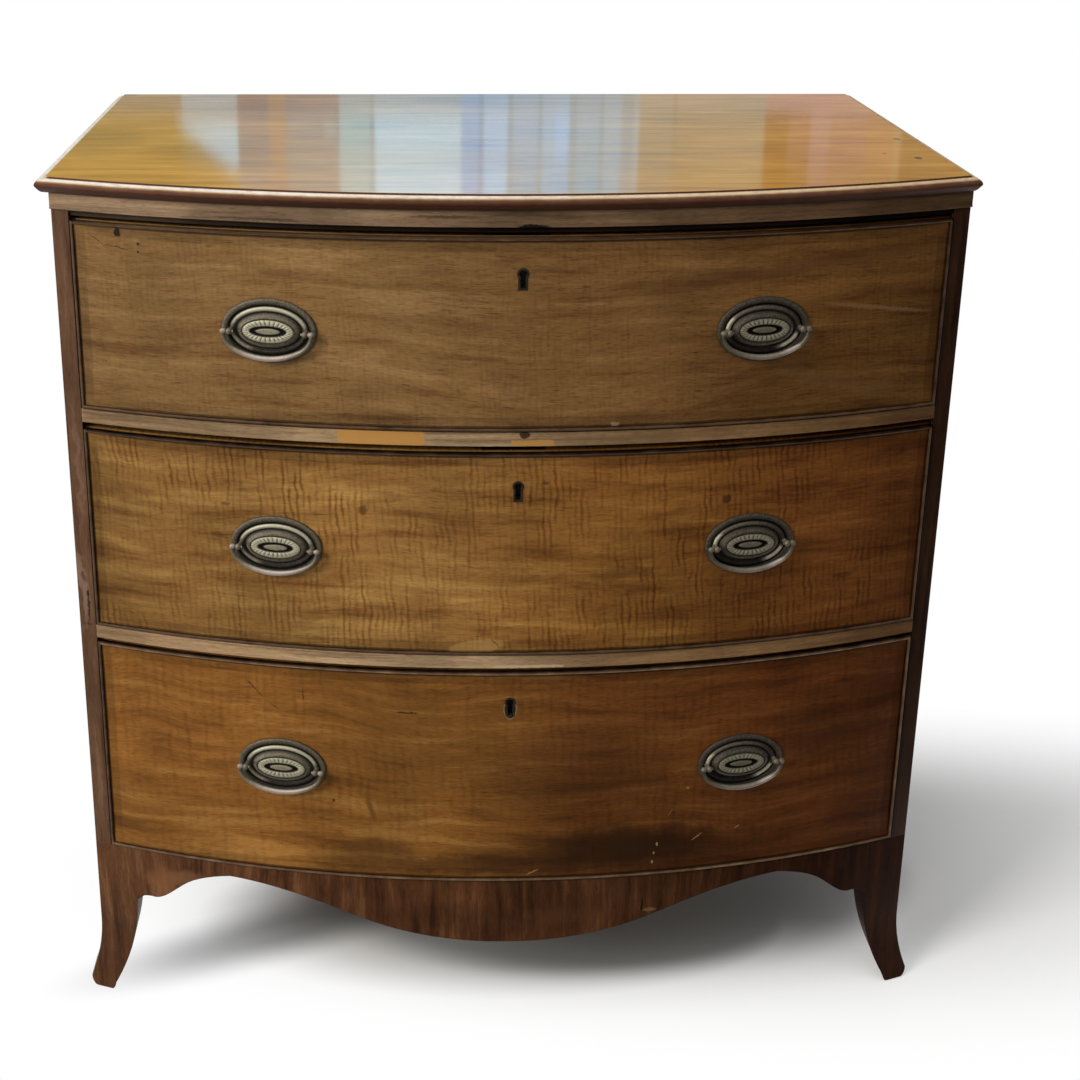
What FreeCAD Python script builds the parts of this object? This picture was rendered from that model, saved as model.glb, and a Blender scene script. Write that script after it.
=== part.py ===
"""Bow front chest of drawers: three graduated long drawers in a mahogany case on splayed feet.

Millimetres. X runs to the right, the front faces -Y and Z is up. The origin lies on the floor
below the middle of the chest. Every bowed face is a slice of one upright drum, whose axis stands
behind the chest at x = 0, so curved faces that meet are concentric.
"""
import FreeCAD, Part
import math
import os
import re

from FreeCAD import Placement, Rotation, Vector

doc = FreeCAD.newDocument("bow_front_chest")

# ---------------------------------------------------------------- driving dimensions
SIZES = [
    # the whole chest
    ("total_height", 943), ("total_depth", 604), ("case_width", 915), ("bow_rise", 84),
    # the case
    ("board", 18), ("facing", 3), ("blade_thick", 14.5), ("blade_reach", 45),
    ("top_thick", 15), ("top_overhang", 11), ("side_overhang", 10.5), ("back_overhang", 5),
    ("top_shift", -3.5), ("top_step", 1.5), ("top_step_in", 10), ("top_round_upper", 5),
    ("top_under_slant", 6),
    ("band_height", 17), ("band_proud", 1.2), ("band_bead", 2), ("band_bead_proud", 2.2),
    ("rail_reveal", 6), ("back_thick", 10), ("back_board_gap", 1),
    ("back_rail_depth", 60), ("back_rail_thick", 19),
    ("runner_width", 20), ("dustboard_thick", 8), ("stop_x", 200), ("stop_length", 36),
    ("stop_width", 22), ("stop_height", 5), ("block_size", 20), ("block_length", 60),
    ("block_front_x", 160), ("block_first_y", -90), ("block_second_y", 100),
    # the openings, from the top one down, and the gaps round their drawers
    ("opening_upper", 201.5), ("opening_middle", 231), ("opening_lower", 258),
    ("gap_upper", 4), ("gap_middle", 7), ("gap_lower", 4), ("gap_under", 1.5),
    ("gap_side", 1), ("runner_play", 0.3), ("stop_play", 0.6),
    # the base
    ("base_thick", 20), ("apron_thick", 18), ("apron_drop", 77), ("apron_peak_drop", 15),
    ("apron_peak_x", 303), ("apron_cusp_x", 391), ("apron_cusp_drop", 58.5),
    ("apron_ear_x", 404), ("apron_ear_drop", 59.5),
    ("side_ear", 14), ("side_arch_radius", 30), ("side_arch_drop", 37),
    ("foot_width", 45), ("foot_knee", 119), ("foot_toe", 29), ("foot_flare", 14),
    ("flare_height", 82), ("foot_belly", 8), ("toe_round_outer", 11), ("toe_round_inner", 8),
    ("toe_round_front", 2),
    # the drawers
    ("front_thick", 22), ("side_thick", 10), ("drawer_back_thick", 9), ("drawer_back_gap", 12),
    ("side_drop", 3), ("back_drop", 8), ("bottom_thick", 7), ("bottom_up", 10),
    ("bead_width", 3.5), ("bead_deep", 8), ("bead_proud", 2.8),
    ("tail_length", 14), ("tail_wide", 30), ("tail_narrow", 23), ("tail_margin", 26),
    # lock and keyhole
    ("key_drop", 43), ("key_x_upper", 5.5), ("key_x_middle", 4.5), ("key_x_lower", 0.5),
    ("lock_width", 64), ("lock_height", 58), ("lock_deep", 12.5),
    ("bolt_width", 24), ("bolt_thick", 5), ("bolt_length", 30), ("bolt_set_back", 2.5),
    ("bolt_play", 0.5), ("mortise_play", 1), ("mortise_deep", 10), ("key_room", 4),
    ("keyhole_radius", 3.8), ("keyhole_slot", 5.2), ("keyhole_length", 14.5),
    ("thread_wall", 1.9), ("thread_deep", 6), ("thread_proud", 0.4),
    # handles
    ("left_x_upper", 240.5), ("left_x_middle", 239.5), ("left_x_lower", 240.5),
    ("right_x_upper", 244), ("right_x_middle", 244), ("right_x_lower", 250),
    ("rise_upper", 0), ("rise_middle", 3), ("rise_lower", 4.5),
    ("plate_half_width", 48), ("plate_half_height", 33), ("plate_floor", 1), ("plate_sink", 2),
    ("plate_rim", 2.4), ("plate_rim_width", 7), ("ridge_in", 9.4), ("ridge_width", 4),
    ("ridge_gap", 1), ("ridge_rise", 2.2), ("dome_rise", 5), ("medal_rise", 6.5),
    ("medal_half_width", 30), ("medal_half_height", 17),
    ("post_x", 38), ("post_neck", 2.4), ("post_head", 3.3), ("post_out", 9.5), ("post_set", 0.4),
    ("post_play", 0.1), ("shank_radius", 2.2), ("shank_end", 6), ("nut_size", 10),
    ("nut_thick", 3), ("nut_gap", 0.8), ("pin_radius", 1.3), ("pin_play", 0.1),
    ("pin_inner_x", 34), ("bail_half_width", 44.5), ("bail_drop", 26.5), ("bail_end_radius", 20),
    ("bail_wire", 2.6), ("bail_ball", 2.8),
]

sheet = doc.addObject("Spreadsheet::Sheet", "sizes")
for row, (alias, number) in enumerate(SIZES, start=1):
    sheet.set(f"A{row}", alias)
    sheet.set(f"B{row}", str(number))
    sheet.setAlias(f"B{row}", alias)
doc.recompute()

ALIASES = {alias for alias, _ in SIZES}


def qualify(formula):
    """Write a formula of sheet aliases the way an expression wants it: sizes.alias."""
    return re.sub(r"[a-z_]+", lambda m: f"sizes.{m[0]}" if m[0] in ALIASES else m[0], str(formula))


def bind(obj, **formulas):
    """Bind properties to formulas of the sheet's aliases."""
    for name, formula in formulas.items():
        obj.setExpression(name, qualify(formula))


def value(formula):
    """The number that a formula of the sheet's aliases gives."""
    return float(sheet.evalExpression(qualify(formula)))


# ---------------------------------------------------------------- places worked out from them
BOW_RADIUS = "((bow_rise^2 + (case_width/2)^2) / (2*bow_rise))"
CORNER_Y = "(top_overhang + bow_rise - total_depth/2)"
AXIS_Y = f"({CORNER_Y} - bow_rise + {BOW_RADIUS})"
CASE_BACK_Y = "(total_depth/2 - back_overhang)"
INNER_BACK_Y = f"({CASE_BACK_Y} - back_thick)"
INNER_X = "(case_width/2 - board)"
TOP_UNDER_Z = "(total_height - top_thick)"
BAND_Z = f"({TOP_UNDER_Z} - band_height)"
RAIL_Z = f"({BAND_Z} - rail_reveal)"
BLADE_UPPER_Z = f"({RAIL_Z} - opening_upper)"
BLADE_LOWER_Z = f"({BLADE_UPPER_Z} - blade_thick - opening_middle)"
BASE_Z = f"({BLADE_LOWER_Z} - blade_thick - opening_lower)"
BLADE_BACK_Y = f"({CORNER_Y} + blade_reach)"
DRAWER_HALF = f"({INNER_X} - gap_side)"
DRAWER_BACK_Y = f"({INNER_BACK_Y} - drawer_back_gap)"
FRONT_Y = f"({CORNER_Y} - bow_rise)"
LOCK_FRONT_Y = f"({FRONT_Y} + front_thick - lock_deep)"
BOLT_Y = f"({LOCK_FRONT_Y} + bolt_set_back)"
# the lapped dovetails stop short of the show face by the lap that is left
TAIL_FRONT_Y = f"({AXIS_Y} - sqrt(({BOW_RADIUS} - front_thick)^2 - {DRAWER_HALF}^2) - tail_length)"

LEVELS = {"upper": BLADE_UPPER_Z, "lower": BLADE_LOWER_Z}

# name of the drawer: (top of its opening, bottom of its opening, number of dovetail tails)
DRAWERS = {
    "upper": (RAIL_Z, BLADE_UPPER_Z, 4),
    "middle": (f"({BLADE_UPPER_Z} - blade_thick)", BLADE_LOWER_Z, 4),
    "lower": (f"({BLADE_LOWER_Z} - blade_thick)", BASE_Z, 5),
}
SIDES = {"left": -1, "right": 1}

nodes = {}


# ---------------------------------------------------------------- small helpers
def box(name, x, y, z, length, width, height):
    """A box from its low corner and its three sizes, each a formula."""
    obj = doc.addObject("Part::Box", name)
    bind(obj, Length=length, Width=width, Height=height)
    place(obj, x, y, z)
    return obj


def place(obj, x, y, z):
    """Bind where an object lies."""
    for axis, formula in (("x", x), ("y", y), ("z", z)):
        obj.setExpression(f"Placement.Base.{axis}", qualify(formula))


def drum(name, outward, z, height):
    """A slice of the drum that the bow follows, its wall moved outward from the case front."""
    obj = doc.addObject("Part::Cylinder", name)
    bind(obj, Radius=f"{BOW_RADIUS} + ({outward})", Height=height)
    place(obj, 0, AXIS_Y, z)
    return obj


def rod(name, axis, radius, length, x=0, y=0, z=0):
    """A round bar from a point along X, -Y or Z."""
    turns = {"x": Rotation(Vector(0, 1, 0), 90), "-y": Rotation(Vector(1, 0, 0), 90),
             "z": Rotation()}
    obj = doc.addObject("Part::Cylinder", name)
    obj.Placement = Placement(Vector(), turns[axis])
    bind(obj, Radius=radius, Height=length)
    place(obj, x, y, z)
    return obj


def ball(name, radius, x, y, z):
    obj = doc.addObject("Part::Sphere", name)
    bind(obj, Radius=radius)
    place(obj, x, y, z)
    return obj


def cut(name, base, tool):
    obj = doc.addObject("Part::Cut", name)
    obj.Base = base
    obj.Tool = tool
    return obj


def common(name, *shapes):
    obj = doc.addObject("Part::MultiCommon", name)
    obj.Shapes = list(shapes)
    return obj


def fuse(name, *shapes):
    obj = doc.addObject("Part::MultiFuse", name)
    obj.Shapes = list(shapes)
    obj.Refine = True
    return obj


def group(name, *shapes):
    """Several separate solids in one node."""
    obj = doc.addObject("Part::Compound", name)
    obj.Links = list(shapes)
    return obj


def node(name, obj):
    """Keep an object as a sub-part under its own label."""
    obj.Label = name
    nodes[name] = obj
    return obj


def bowed(name, x, z, length, height, outer=0, back_y=CASE_BACK_Y):
    """A board with a bowed front edge: the drum's slice within a box."""
    front_y = "-total_depth"
    blank = box(f"{name}_blank", x, front_y, z, length, f"{back_y} + total_depth", height)
    return common(f"{name}_bowed", blank, drum(f"{name}_drum", outer, z, height))


def bowed_shell(name, x, z, length, height, inner, outer):
    """A bowed board of even thickness, between two moved walls of the drum."""
    board = bowed(name, x, z, length, height, outer)
    return cut(f"{name}_shell", board, drum(f"{name}_core", inner, f"({z}) - 1", f"({height}) + 2"))


def outline_solid(name, edges, direction):
    """A closed outline of edges pushed out into a solid."""
    face = Part.Face(Part.Wire(Part.__sortEdges__(edges)))
    obj = doc.addObject("Part::Feature", name)
    obj.Shape = face.extrude(direction)
    return obj


def chain(points):
    """Straight edges from point to point."""
    return [Part.LineSegment(a, b).toShape() for a, b in zip(points, points[1:])]


def arc(start, through, end):
    return Part.Arc(start, through, end).toShape()


# ---------------------------------------------------------------- the case
def moulded_edges(shape, upper):
    """The numbers of the upper or the lower edges along the front and the ends of the top's rim."""
    mid_z = value(TOP_UNDER_Z) + (value("top_thick") - value("top_step")) / 2
    back_y = value("total_depth/2")
    numbers = []
    for number, edge in enumerate(shape.Edges, start=1):
        bounds = edge.BoundBox
        if bounds.YMin > back_y - 1 or bounds.ZLength > 1:
            continue
        if (bounds.ZMin > mid_z) == upper:
            numbers.append(number)
    return numbers


def make_top_board():
    """Solid top with a moulding worked on its front and ends: a small step, a round nose and a
    slanting under side. The board sits a little to the left of the case."""
    half = "(case_width/2 + side_overhang)"
    back = "total_depth/2"
    worked = bowed("top_rim", f"top_shift - {half}", TOP_UNDER_Z, f"2*{half}", "top_thick - top_step",
                   "top_overhang", back)
    for name, kind, upper, size in (("top_slanted", "Part::Chamfer", False, "top_under_slant"),
                                    ("top_rounded", "Part::Fillet", True, "top_round_upper")):
        doc.recompute()
        shaped = doc.addObject(kind, name)
        shaped.Base = worked
        shaped.Edges = [(number, value(size), value(size))
                        for number in moulded_edges(worked.Shape, upper)]
        worked = shaped
    inset = f"({half} - top_step_in)"
    field = bowed("top_field", f"top_shift - {inset}", TOP_UNDER_Z, f"2*{inset}", "top_thick",
                  "top_overhang - top_step_in", back)
    node("top_board", fuse("top_board_whole", worked, field))


def make_sides():
    for side, sign in SIDES.items():
        low_x = INNER_X if sign > 0 else "-case_width/2"
        panel = bowed(f"side_{side}", low_x, BASE_Z, "board", f"{TOP_UNDER_Z} - {BASE_Z}", "-facing")
        node(f"case_side_{side}", panel)


def make_stile_facings():
    """Upright strips that cover the front edges of the sides."""
    strips = []
    for side, sign in SIDES.items():
        low_x = INNER_X if sign > 0 else "-case_width/2"
        strips.append(bowed_shell(f"stile_{side}", low_x, BASE_Z, "board", f"{BAND_Z} - {BASE_Z}",
                                  "-facing", 0))
    node("stile_facings", group("stile_pair", *strips))


def make_frieze_band():
    """Band under the top, with a fine bead along its lower edge."""
    half = "(case_width/2 + band_proud)"
    band = bowed_shell("band", f"-{half}", BAND_Z, f"2*{half}", "band_height", "-facing", "band_proud")
    bead = bowed_shell("band_bead", f"-{half}", BAND_Z, f"2*{half}", "band_bead", "-facing",
                       "band_bead_proud")
    node("frieze_band", fuse("frieze_band_whole", band, bead))


def mortise(name, z):
    """The slot, up from z, that a lock bolt shoots into. Its back and front clear the bolt."""
    width = "(bolt_width + 2*mortise_play)"
    depth = "(bolt_thick + 2*mortise_play)"
    return box(name, f"-{width}/2", f"{BOLT_Y} - mortise_play", f"{z} - 1", width, depth,
               "mortise_deep + 1")


def make_rails():
    """The rails between which the drawers run: one under the top, front and back, and two blades."""
    width = f"2*{INNER_X}"
    rail = bowed("rail", f"-{INNER_X}", RAIL_Z, width, f"{TOP_UNDER_Z} - {RAIL_Z}", "-facing",
                 BLADE_BACK_Y)
    node("top_front_rail", cut("top_front_rail_cut", rail, mortise("rail_mortise", RAIL_Z)))
    node("top_back_rail", box("back_rail", f"-{INNER_X}", f"{INNER_BACK_Y} - back_rail_depth",
                              f"{TOP_UNDER_Z} - back_rail_thick", width, "back_rail_depth",
                              "back_rail_thick"))
    for name, top_z in LEVELS.items():
        under_z = f"({top_z} - blade_thick)"
        blade = bowed(f"blade_{name}", f"-{INNER_X}", under_z, width, "blade_thick", 0, BLADE_BACK_Y)
        slot = mortise(f"blade_{name}_mortise", under_z)
        node(f"blade_{name}", cut(f"blade_{name}_cut", blade, slot))


def make_runners():
    """Runners behind the blades carry two drawers, and kickers keep the top one from tipping."""
    parts = []
    boards = []
    length = f"{INNER_BACK_Y} - {BLADE_BACK_Y}"
    for side, sign in SIDES.items():
        low_x = f"{INNER_X} - runner_width" if sign > 0 else f"-{INNER_X}"
        for level, top_z in LEVELS.items():
            parts.append(box(f"runner_{level}_{side}", low_x, BLADE_BACK_Y, f"{top_z} - blade_thick",
                             "runner_width", length, "blade_thick"))
        parts.append(box(f"kicker_{side}", low_x, BLADE_BACK_Y, RAIL_Z, "runner_width",
                         f"{length} - back_rail_depth", f"{TOP_UNDER_Z} - {RAIL_Z}"))
    for level, top_z in LEVELS.items():
        low_z = f"{top_z} - (blade_thick + dustboard_thick)/2"
        inner = f"({INNER_X} - runner_width)"
        boards.append(box(f"dustboard_{level}", f"-{inner}", BLADE_BACK_Y, low_z, f"2*{inner}",
                          length, "dustboard_thick"))
    node("runners_and_kickers", group("runner_group", *parts))
    node("dustboards", group("dustboard_group", *boards))


def make_drawer_stops():
    """Thin blocks on the blades and the bottom board that the drawer fronts close against.

    The end of a block that lies farther from the middle is the one that the bowed front meets."""
    far_x = "(stop_x + stop_length/2)"
    front_y = f"{AXIS_Y} - sqrt(({BOW_RADIUS} - front_thick)^2 - {far_x}^2) + stop_play"
    blocks = []
    for drawer, (_, floor_z, _) in DRAWERS.items():
        for side, sign in SIDES.items():
            blocks.append(box(f"stop_{drawer}_{side}", f"{sign}*stop_x - stop_length/2", front_y,
                              floor_z, "stop_length", "stop_width", "stop_height"))
    node("drawer_stops", group("stop_group", *blocks))


def make_back_and_bottom():
    height = f"({TOP_UNDER_Z} - {BASE_Z} - 2*back_board_gap)/3"
    boards = []
    for number in range(3):
        low_z = f"{BASE_Z} + {number}*({height} + back_board_gap)"
        boards.append(box(f"back_board_{number}", f"-{INNER_X}", INNER_BACK_Y, low_z,
                          f"2*{INNER_X}", "back_thick", height))
    node("back_boards", group("back_group", *boards))
    half = "(case_width/2 - base_thick)"
    node("bottom_board", bowed("bottom", f"-{half}", f"{BASE_Z} - blade_thick", f"2*{half}",
                               "blade_thick", "-apron_thick"))


# ---------------------------------------------------------------- the base
# the arch falls to its rounded cusp in an S: shares of the way along and of the way down
CUSP_CURVE = [(0, 0), (0.36, 0.19), (0.54, 0.37), (0.70, 0.63), (0.83, 0.85), (0.92, 0.96), (1, 1)]
# the ear beside each cusp rises this little above it
EAR_RISE = 0.4


def make_apron_front():
    """Bowed apron: a drooping middle, two flat arches and a rounded cusp beside each foot."""
    top = value(BASE_Z)
    foot_x = value("case_width/2 - foot_width")
    low = top - value("apron_drop")
    peak = Vector(value("apron_peak_x"), 0, top - value("apron_peak_drop"))
    cusp = Vector(value("apron_cusp_x"), 0, top - value("apron_cusp_drop"))
    ear = Vector(value("apron_ear_x"), 0, top - value("apron_ear_drop"))
    rise = peak.z - low
    droop = [Vector(0, 0, low), Vector(0.22 * peak.x, 0, low + 0.06 * rise),
             Vector(0.44 * peak.x, 0, low + 0.28 * rise), Vector(0.66 * peak.x, 0, low + 0.66 * rise),
             Vector(0.84 * peak.x, 0, low + 0.90 * rise), peak]
    fall = peak.z - cusp.z
    hook = [Vector(peak.x + along * (cusp.x - peak.x), 0, peak.z - down * fall)
            for along, down in CUSP_CURVE]
    edges = []
    for sign in SIDES.values():
        def turned(point):
            return Vector(sign * point.x, 0, point.z)
        for points in (droop, hook):
            curve = Part.BSplineCurve()
            curve.interpolate([turned(p) for p in points])
            edges.append(curve.toShape())
        middle = Vector((cusp.x + ear.x) / 2, 0, cusp.z + EAR_RISE)
        edges.append(arc(turned(cusp), turned(middle), turned(ear)))
        corner = Vector(foot_x, 0, value("foot_knee"))
        edges += chain([turned(ear), turned(corner), turned(Vector(foot_x, 0, top))])
    edges += chain([Vector(-foot_x, 0, top), Vector(foot_x, 0, top)])
    outline = outline_solid("apron_outline", edges, Vector(0, -value("total_depth"), 0))
    shell = bowed_shell("apron", f"-{INNER_X}", f"{BASE_Z} - apron_drop - 5", f"2*{INNER_X}",
                        "apron_drop + 5", "-apron_thick", 0)
    node("apron_front", common("apron_front_whole", shell, outline))


def make_side_aprons():
    """Flat aprons between the feet at the ends, arched between two ears."""
    top = value(BASE_Z)
    front_y = value(CORNER_Y)
    back_y = value(f"{CASE_BACK_Y} - foot_width")
    foot_y = value(f"{CORNER_Y} + foot_width")
    low = value("foot_knee")
    radius = value("side_arch_radius")
    high = top - value("side_arch_drop")
    fall = high - low
    ear = value("side_ear")
    aprons = []
    for side, sign in SIDES.items():
        outer_x = sign * value("case_width/2")

        def at(y, z):
            return Vector(outer_x, y, z)
        start = foot_y + ear
        end = back_y - ear
        edges = chain([at(start, low), at(front_y, low), at(front_y, top), at(back_y, top),
                       at(back_y, low), at(end, low)])
        # the middle of a quarter round lies this share of its radius from the square corner
        corner = 1 - math.sqrt(0.5)
        edges.append(arc(at(start, low), at(start + corner * radius, low + (1 - corner) * fall),
                         at(start + radius, high)))
        edges.append(arc(at(end, low), at(end - corner * radius, low + (1 - corner) * fall),
                         at(end - radius, high)))
        edges += chain([at(start + radius, high), at(end - radius, high)])
        blank = outline_solid(f"side_apron_{side}_outline", edges,
                              Vector(-sign * value("base_thick"), 0, 0))
        inside = drum(f"side_apron_{side}_drum", "-foot_width", "foot_knee - 1",
                      f"{BASE_Z} - foot_knee + 2")
        aprons.append(common(f"side_apron_{side}", blank, inside))
    node("side_aprons", group("side_apron_pair", *aprons))


def foot_outline(outer, inner, sign, round_out, round_in):
    """The foot's outline across a face: upright, then splayed, with a bellied inner edge and a
    rounded toe.

    outer and inner are the places of its two upright edges, and sign says which way is outwards.
    round_out and round_in are the radii of the toe's two corners.
    Returned as (place, height) pairs: the straight runs, and the arcs of the splay, the belly and
    the toe's two corners.
    """
    top = value(BASE_Z)
    knee = value("foot_knee")
    flare_z = value("flare_height")
    toe_out = outer + sign * value("foot_flare")
    toe_in = toe_out - sign * value("foot_toe")
    # the middle of a quarter round lies this share of its radius from both sides of its corner
    cut = 1 - math.sqrt(0.5)
    splay_mid = (outer + sign * 0.25 * value("foot_flare"), (flare_z + round_out) / 2)
    belly_mid = ((inner + toe_in) / 2 - sign * value("foot_belly"), (knee + round_in) / 2)
    runs = [[(inner, knee), (inner, top), (outer, top), (outer, flare_z)],
            [(toe_out - sign * round_out, 0), (toe_in + sign * round_in, 0)]]
    arcs = [[(outer, flare_z), splay_mid, (toe_out, round_out)],
            [(toe_out, round_out), (toe_out - sign * cut * round_out, cut * round_out),
             (toe_out - sign * round_out, 0)],
            [(toe_in + sign * round_in, 0), (toe_in + sign * cut * round_in, cut * round_in),
             (toe_in, round_in)],
            [(toe_in, round_in), belly_mid, (inner, knee)]]
    return runs, arcs


def outline_edges(parts, at):
    runs, arcs = parts
    edges = []
    for run in runs:
        edges += chain([at(*pair) for pair in run])
    for curve in arcs:
        edges.append(arc(*[at(*pair) for pair in curve]))
    return edges


# a front foot lies within this many degrees of the drum, to one side of straight forwards
SECTOR = 30


def ring_sector(name, outline, start):
    """The bow's own sector of a ring: an outline of (radius, height) turned about the drum's axis."""
    axis = Vector(0, value(AXIS_Y), 0)
    upright = Vector(0, 0, 1)
    face = Part.Face(Part.Wire(Part.__sortEdges__(outline)))
    face.translate(axis)
    face.rotate(axis, upright, start)
    obj = doc.addObject("Part::Feature", name)
    obj.Shape = face.revolve(axis, upright, SECTOR)
    return obj


def make_feet():
    """Four splayed feet. The front pair splays forwards too, following the bow."""
    width = value("foot_width")
    depth = 2 * width
    radius = value(BOW_RADIUS)
    top = value(BASE_Z)
    knee = value("foot_knee")
    back_y = value(CASE_BACK_Y)
    inner_y = back_y - width
    toe_y = back_y - value("foot_toe")
    belly_y = (inner_y + toe_y) / 2 - value("foot_belly")
    front_round = value("toe_round_front")
    along_front = outline_edges(foot_outline(radius, radius - width, 1, front_round, front_round),
                                lambda r, z: Vector(r, 0, z))
    for side, sign in SIDES.items():
        outer = sign * value("case_width/2")
        face = foot_outline(outer, outer - sign * width, sign,
                            value("toe_round_outer"), value("toe_round_inner"))

        def beside(y, z):
            return Vector(outer - sign * width, y, z)
        along_back = chain([beside(inner_y, knee), beside(inner_y, top), beside(back_y, top),
                            beside(back_y, 0), beside(toe_y, 0)])
        along_back.append(arc(beside(toe_y, 0), beside(belly_y, knee / 2), beside(inner_y, knee)))
        start = -90 if sign > 0 else -90 - SECTOR
        profiles = {
            "front": (value(CORNER_Y) + depth / 2,
                      ring_sector(f"foot_front_{side}_along", along_front, start)),
            "back": (back_y, outline_solid(f"foot_back_{side}_along", along_back,
                                           Vector(sign * depth, 0, 0))),
        }
        for end, (far_y, along) in profiles.items():
            name = f"foot_{end}_{side}"
            edges = outline_edges(face, lambda x, z, y=far_y: Vector(x, y, z))
            across = outline_solid(f"{name}_across", edges, Vector(0, -depth, 0))
            block = common(f"{name}_block", across, along)
            node(name, cut(f"{name}_cut", block, nodes["bottom_board"]))


def make_glue_blocks():
    """Blocks rubbed into the corner between the bottom board and the aprons."""
    top = f"({BASE_Z} - blade_thick - block_size)"
    blocks = []
    for side, sign in SIDES.items():
        low_x = "case_width/2 - base_thick - block_size" if sign > 0 else "base_thick - case_width/2"
        for number, y in enumerate(("block_first_y", "block_second_y")):
            blocks.append(box(f"block_{side}_{number}", low_x, y, top, "block_size", "block_length",
                              "block_size"))
        blank = bowed(f"block_front_{side}", f"{sign}*block_front_x - block_length/2", top,
                      "block_length", "block_size", "-apron_thick")
        core = drum(f"block_front_{side}_core", "-apron_thick - block_size", f"{top} - 1",
                    "block_size + 2")
        blocks.append(cut(f"block_front_{side}_cut", blank, core))
    node("glue_blocks", group("block_group", *blocks))


# ---------------------------------------------------------------- one drawer
def front_top(name):
    """Height of the top edge of a drawer's front."""
    return f"({DRAWERS[name][0]} - gap_{name})"


def tails(name, low_x, low_z, high_z, count):
    """Dovetail tails on the front end of a drawer side, as one cutting or joining shape."""
    parts = []
    span = f"(({high_z}) - ({low_z}) - 2*tail_margin)"
    for number in range(count):
        wedge = doc.addObject("Part::Wedge", f"{name}_{number}")
        bind(wedge, Xmin=0, Xmax="side_thick", X2min=0, X2max="side_thick",
             Ymin=0, Ymax="tail_length + side_thick",
             Zmin="-tail_wide/2", Zmax="tail_wide/2",
             Z2min="-tail_narrow/2 + side_thick/4", Z2max="tail_narrow/2 - side_thick/4")
        place(wedge, low_x, TAIL_FRONT_Y, f"({low_z}) + tail_margin + {span}*{number}/{count - 1}")
        parts.append(wedge)
    return fuse(f"{name}_all", *parts)


def make_drawer_box(name):
    """Front, sides, back and bottom of one drawer, joined by lapped dovetails at the front."""
    _, floor_z, tail_count = DRAWERS[name]
    front_low = f"({floor_z} + gap_under)"
    front_high = front_top(name)
    height = f"({front_high} - {front_low})"
    side_low = f"({floor_z} + runner_play)"
    side_high = f"({front_high} - side_drop)"
    width = f"2*{DRAWER_HALF}"
    inner_half = f"({DRAWER_HALF} - side_thick)"

    block = bowed_shell(f"{name}_front_blank", f"-{DRAWER_HALF}", front_low, width, height,
                        "-front_thick", 0)
    tools = make_beads(name, front_low, height)
    inside = drum(f"{name}_inside", "-front_thick", side_low, f"{side_high} - {side_low}")
    for side, sign in SIDES.items():
        low_x = inner_half if sign > 0 else f"-{DRAWER_HALF}"
        tail_set = tails(f"{name}_tails_{side}", low_x, side_low, side_high, tail_count)
        plank = box(f"{name}_side_{side}_plank", low_x, TAIL_FRONT_Y, side_low, "side_thick",
                    f"{DRAWER_BACK_Y} - {TAIL_FRONT_Y}", f"{side_high} - {side_low}")
        body = common(f"{name}_side_{side}_body", plank, inside)
        node(f"{name}_drawer_side_{side}", fuse(f"{name}_side_{side}", body, tail_set))
        tools.append(tail_set)
    tools += lock_recess(name)
    tools += shank_holes(name)
    node(f"{name}_drawer_front", cut(f"{name}_front", block, fuse(f"{name}_front_tools", *tools)))

    bottom_z = f"({side_low} + bottom_up)"
    back_low = f"({bottom_z} + bottom_thick)"
    node(f"{name}_drawer_back",
         box(f"{name}_back", f"-{inner_half}", f"{DRAWER_BACK_Y} - drawer_back_thick", back_low,
             f"2*{inner_half}", "drawer_back_thick", f"{side_high} - back_drop - {back_low}"))
    node(f"{name}_drawer_bottom",
         bowed(f"{name}_bottom", f"-{inner_half}", bottom_z, f"2*{inner_half}", "bottom_thick",
               "-front_thick", DRAWER_BACK_Y))


def make_beads(name, low_z, height):
    """Cock beads: four thin strips let into the edge of the front, standing proud of it.

    Returns the strips, which also cut their own rebates."""
    half = DRAWER_HALF
    strips = []
    for edge, z in (("bottom", low_z), ("top", f"{low_z} + {height} - bead_width")):
        strips.append(bowed_shell(f"{name}_bead_{edge}", f"-{half}", z, f"2*{half}", "bead_width",
                                  "-bead_deep", "bead_proud"))
    for side, sign in SIDES.items():
        low_x = f"{half} - bead_width" if sign > 0 else f"-{half}"
        strips.append(bowed_shell(f"{name}_bead_{side}", low_x, f"{low_z} + bead_width", "bead_width",
                                  f"{height} - 2*bead_width", "-bead_deep", "bead_proud"))
    node(f"{name}_cock_beads", group(f"{name}_bead_group", *strips))
    return strips


# ---------------------------------------------------------------- lock and keyhole
def keyhole(name, kind, wall, y, depth):
    """A keyhole-shaped prism: a round head over a slot, both grown by a wall."""
    head_z = f"({front_top(name)} - key_drop + keyhole_length/2)"
    head = rod(f"{name}_{kind}_head", "-y", f"keyhole_radius + {wall}", depth,
               f"key_x_{name}", f"{y} + {depth}", head_z)
    slot_half = f"(keyhole_slot/2 + {wall})"
    slot = box(f"{name}_{kind}_slot", f"key_x_{name} - {slot_half}", y,
               f"{head_z} - keyhole_length - {wall}", f"2*{slot_half}", depth,
               f"keyhole_length + {wall}")
    return fuse(f"{name}_{kind}", head, slot)


def lock_recess(name):
    """The bed of the lock in the back of the front, the keyhole, and the seat of its thread."""
    recess = box(f"{name}_lock_recess", "-lock_width/2", LOCK_FRONT_Y,
                 f"{front_top(name)} - lock_height", "lock_width", "lock_deep + 5", "lock_height + 5")
    return [recess, keyhole(name, "bore", 0, f"{FRONT_Y} - 1", "front_thick"),
            keyhole(name, "thread_seat", "thread_wall", f"{FRONT_Y} - 1", "1 + thread_deep")]


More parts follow.
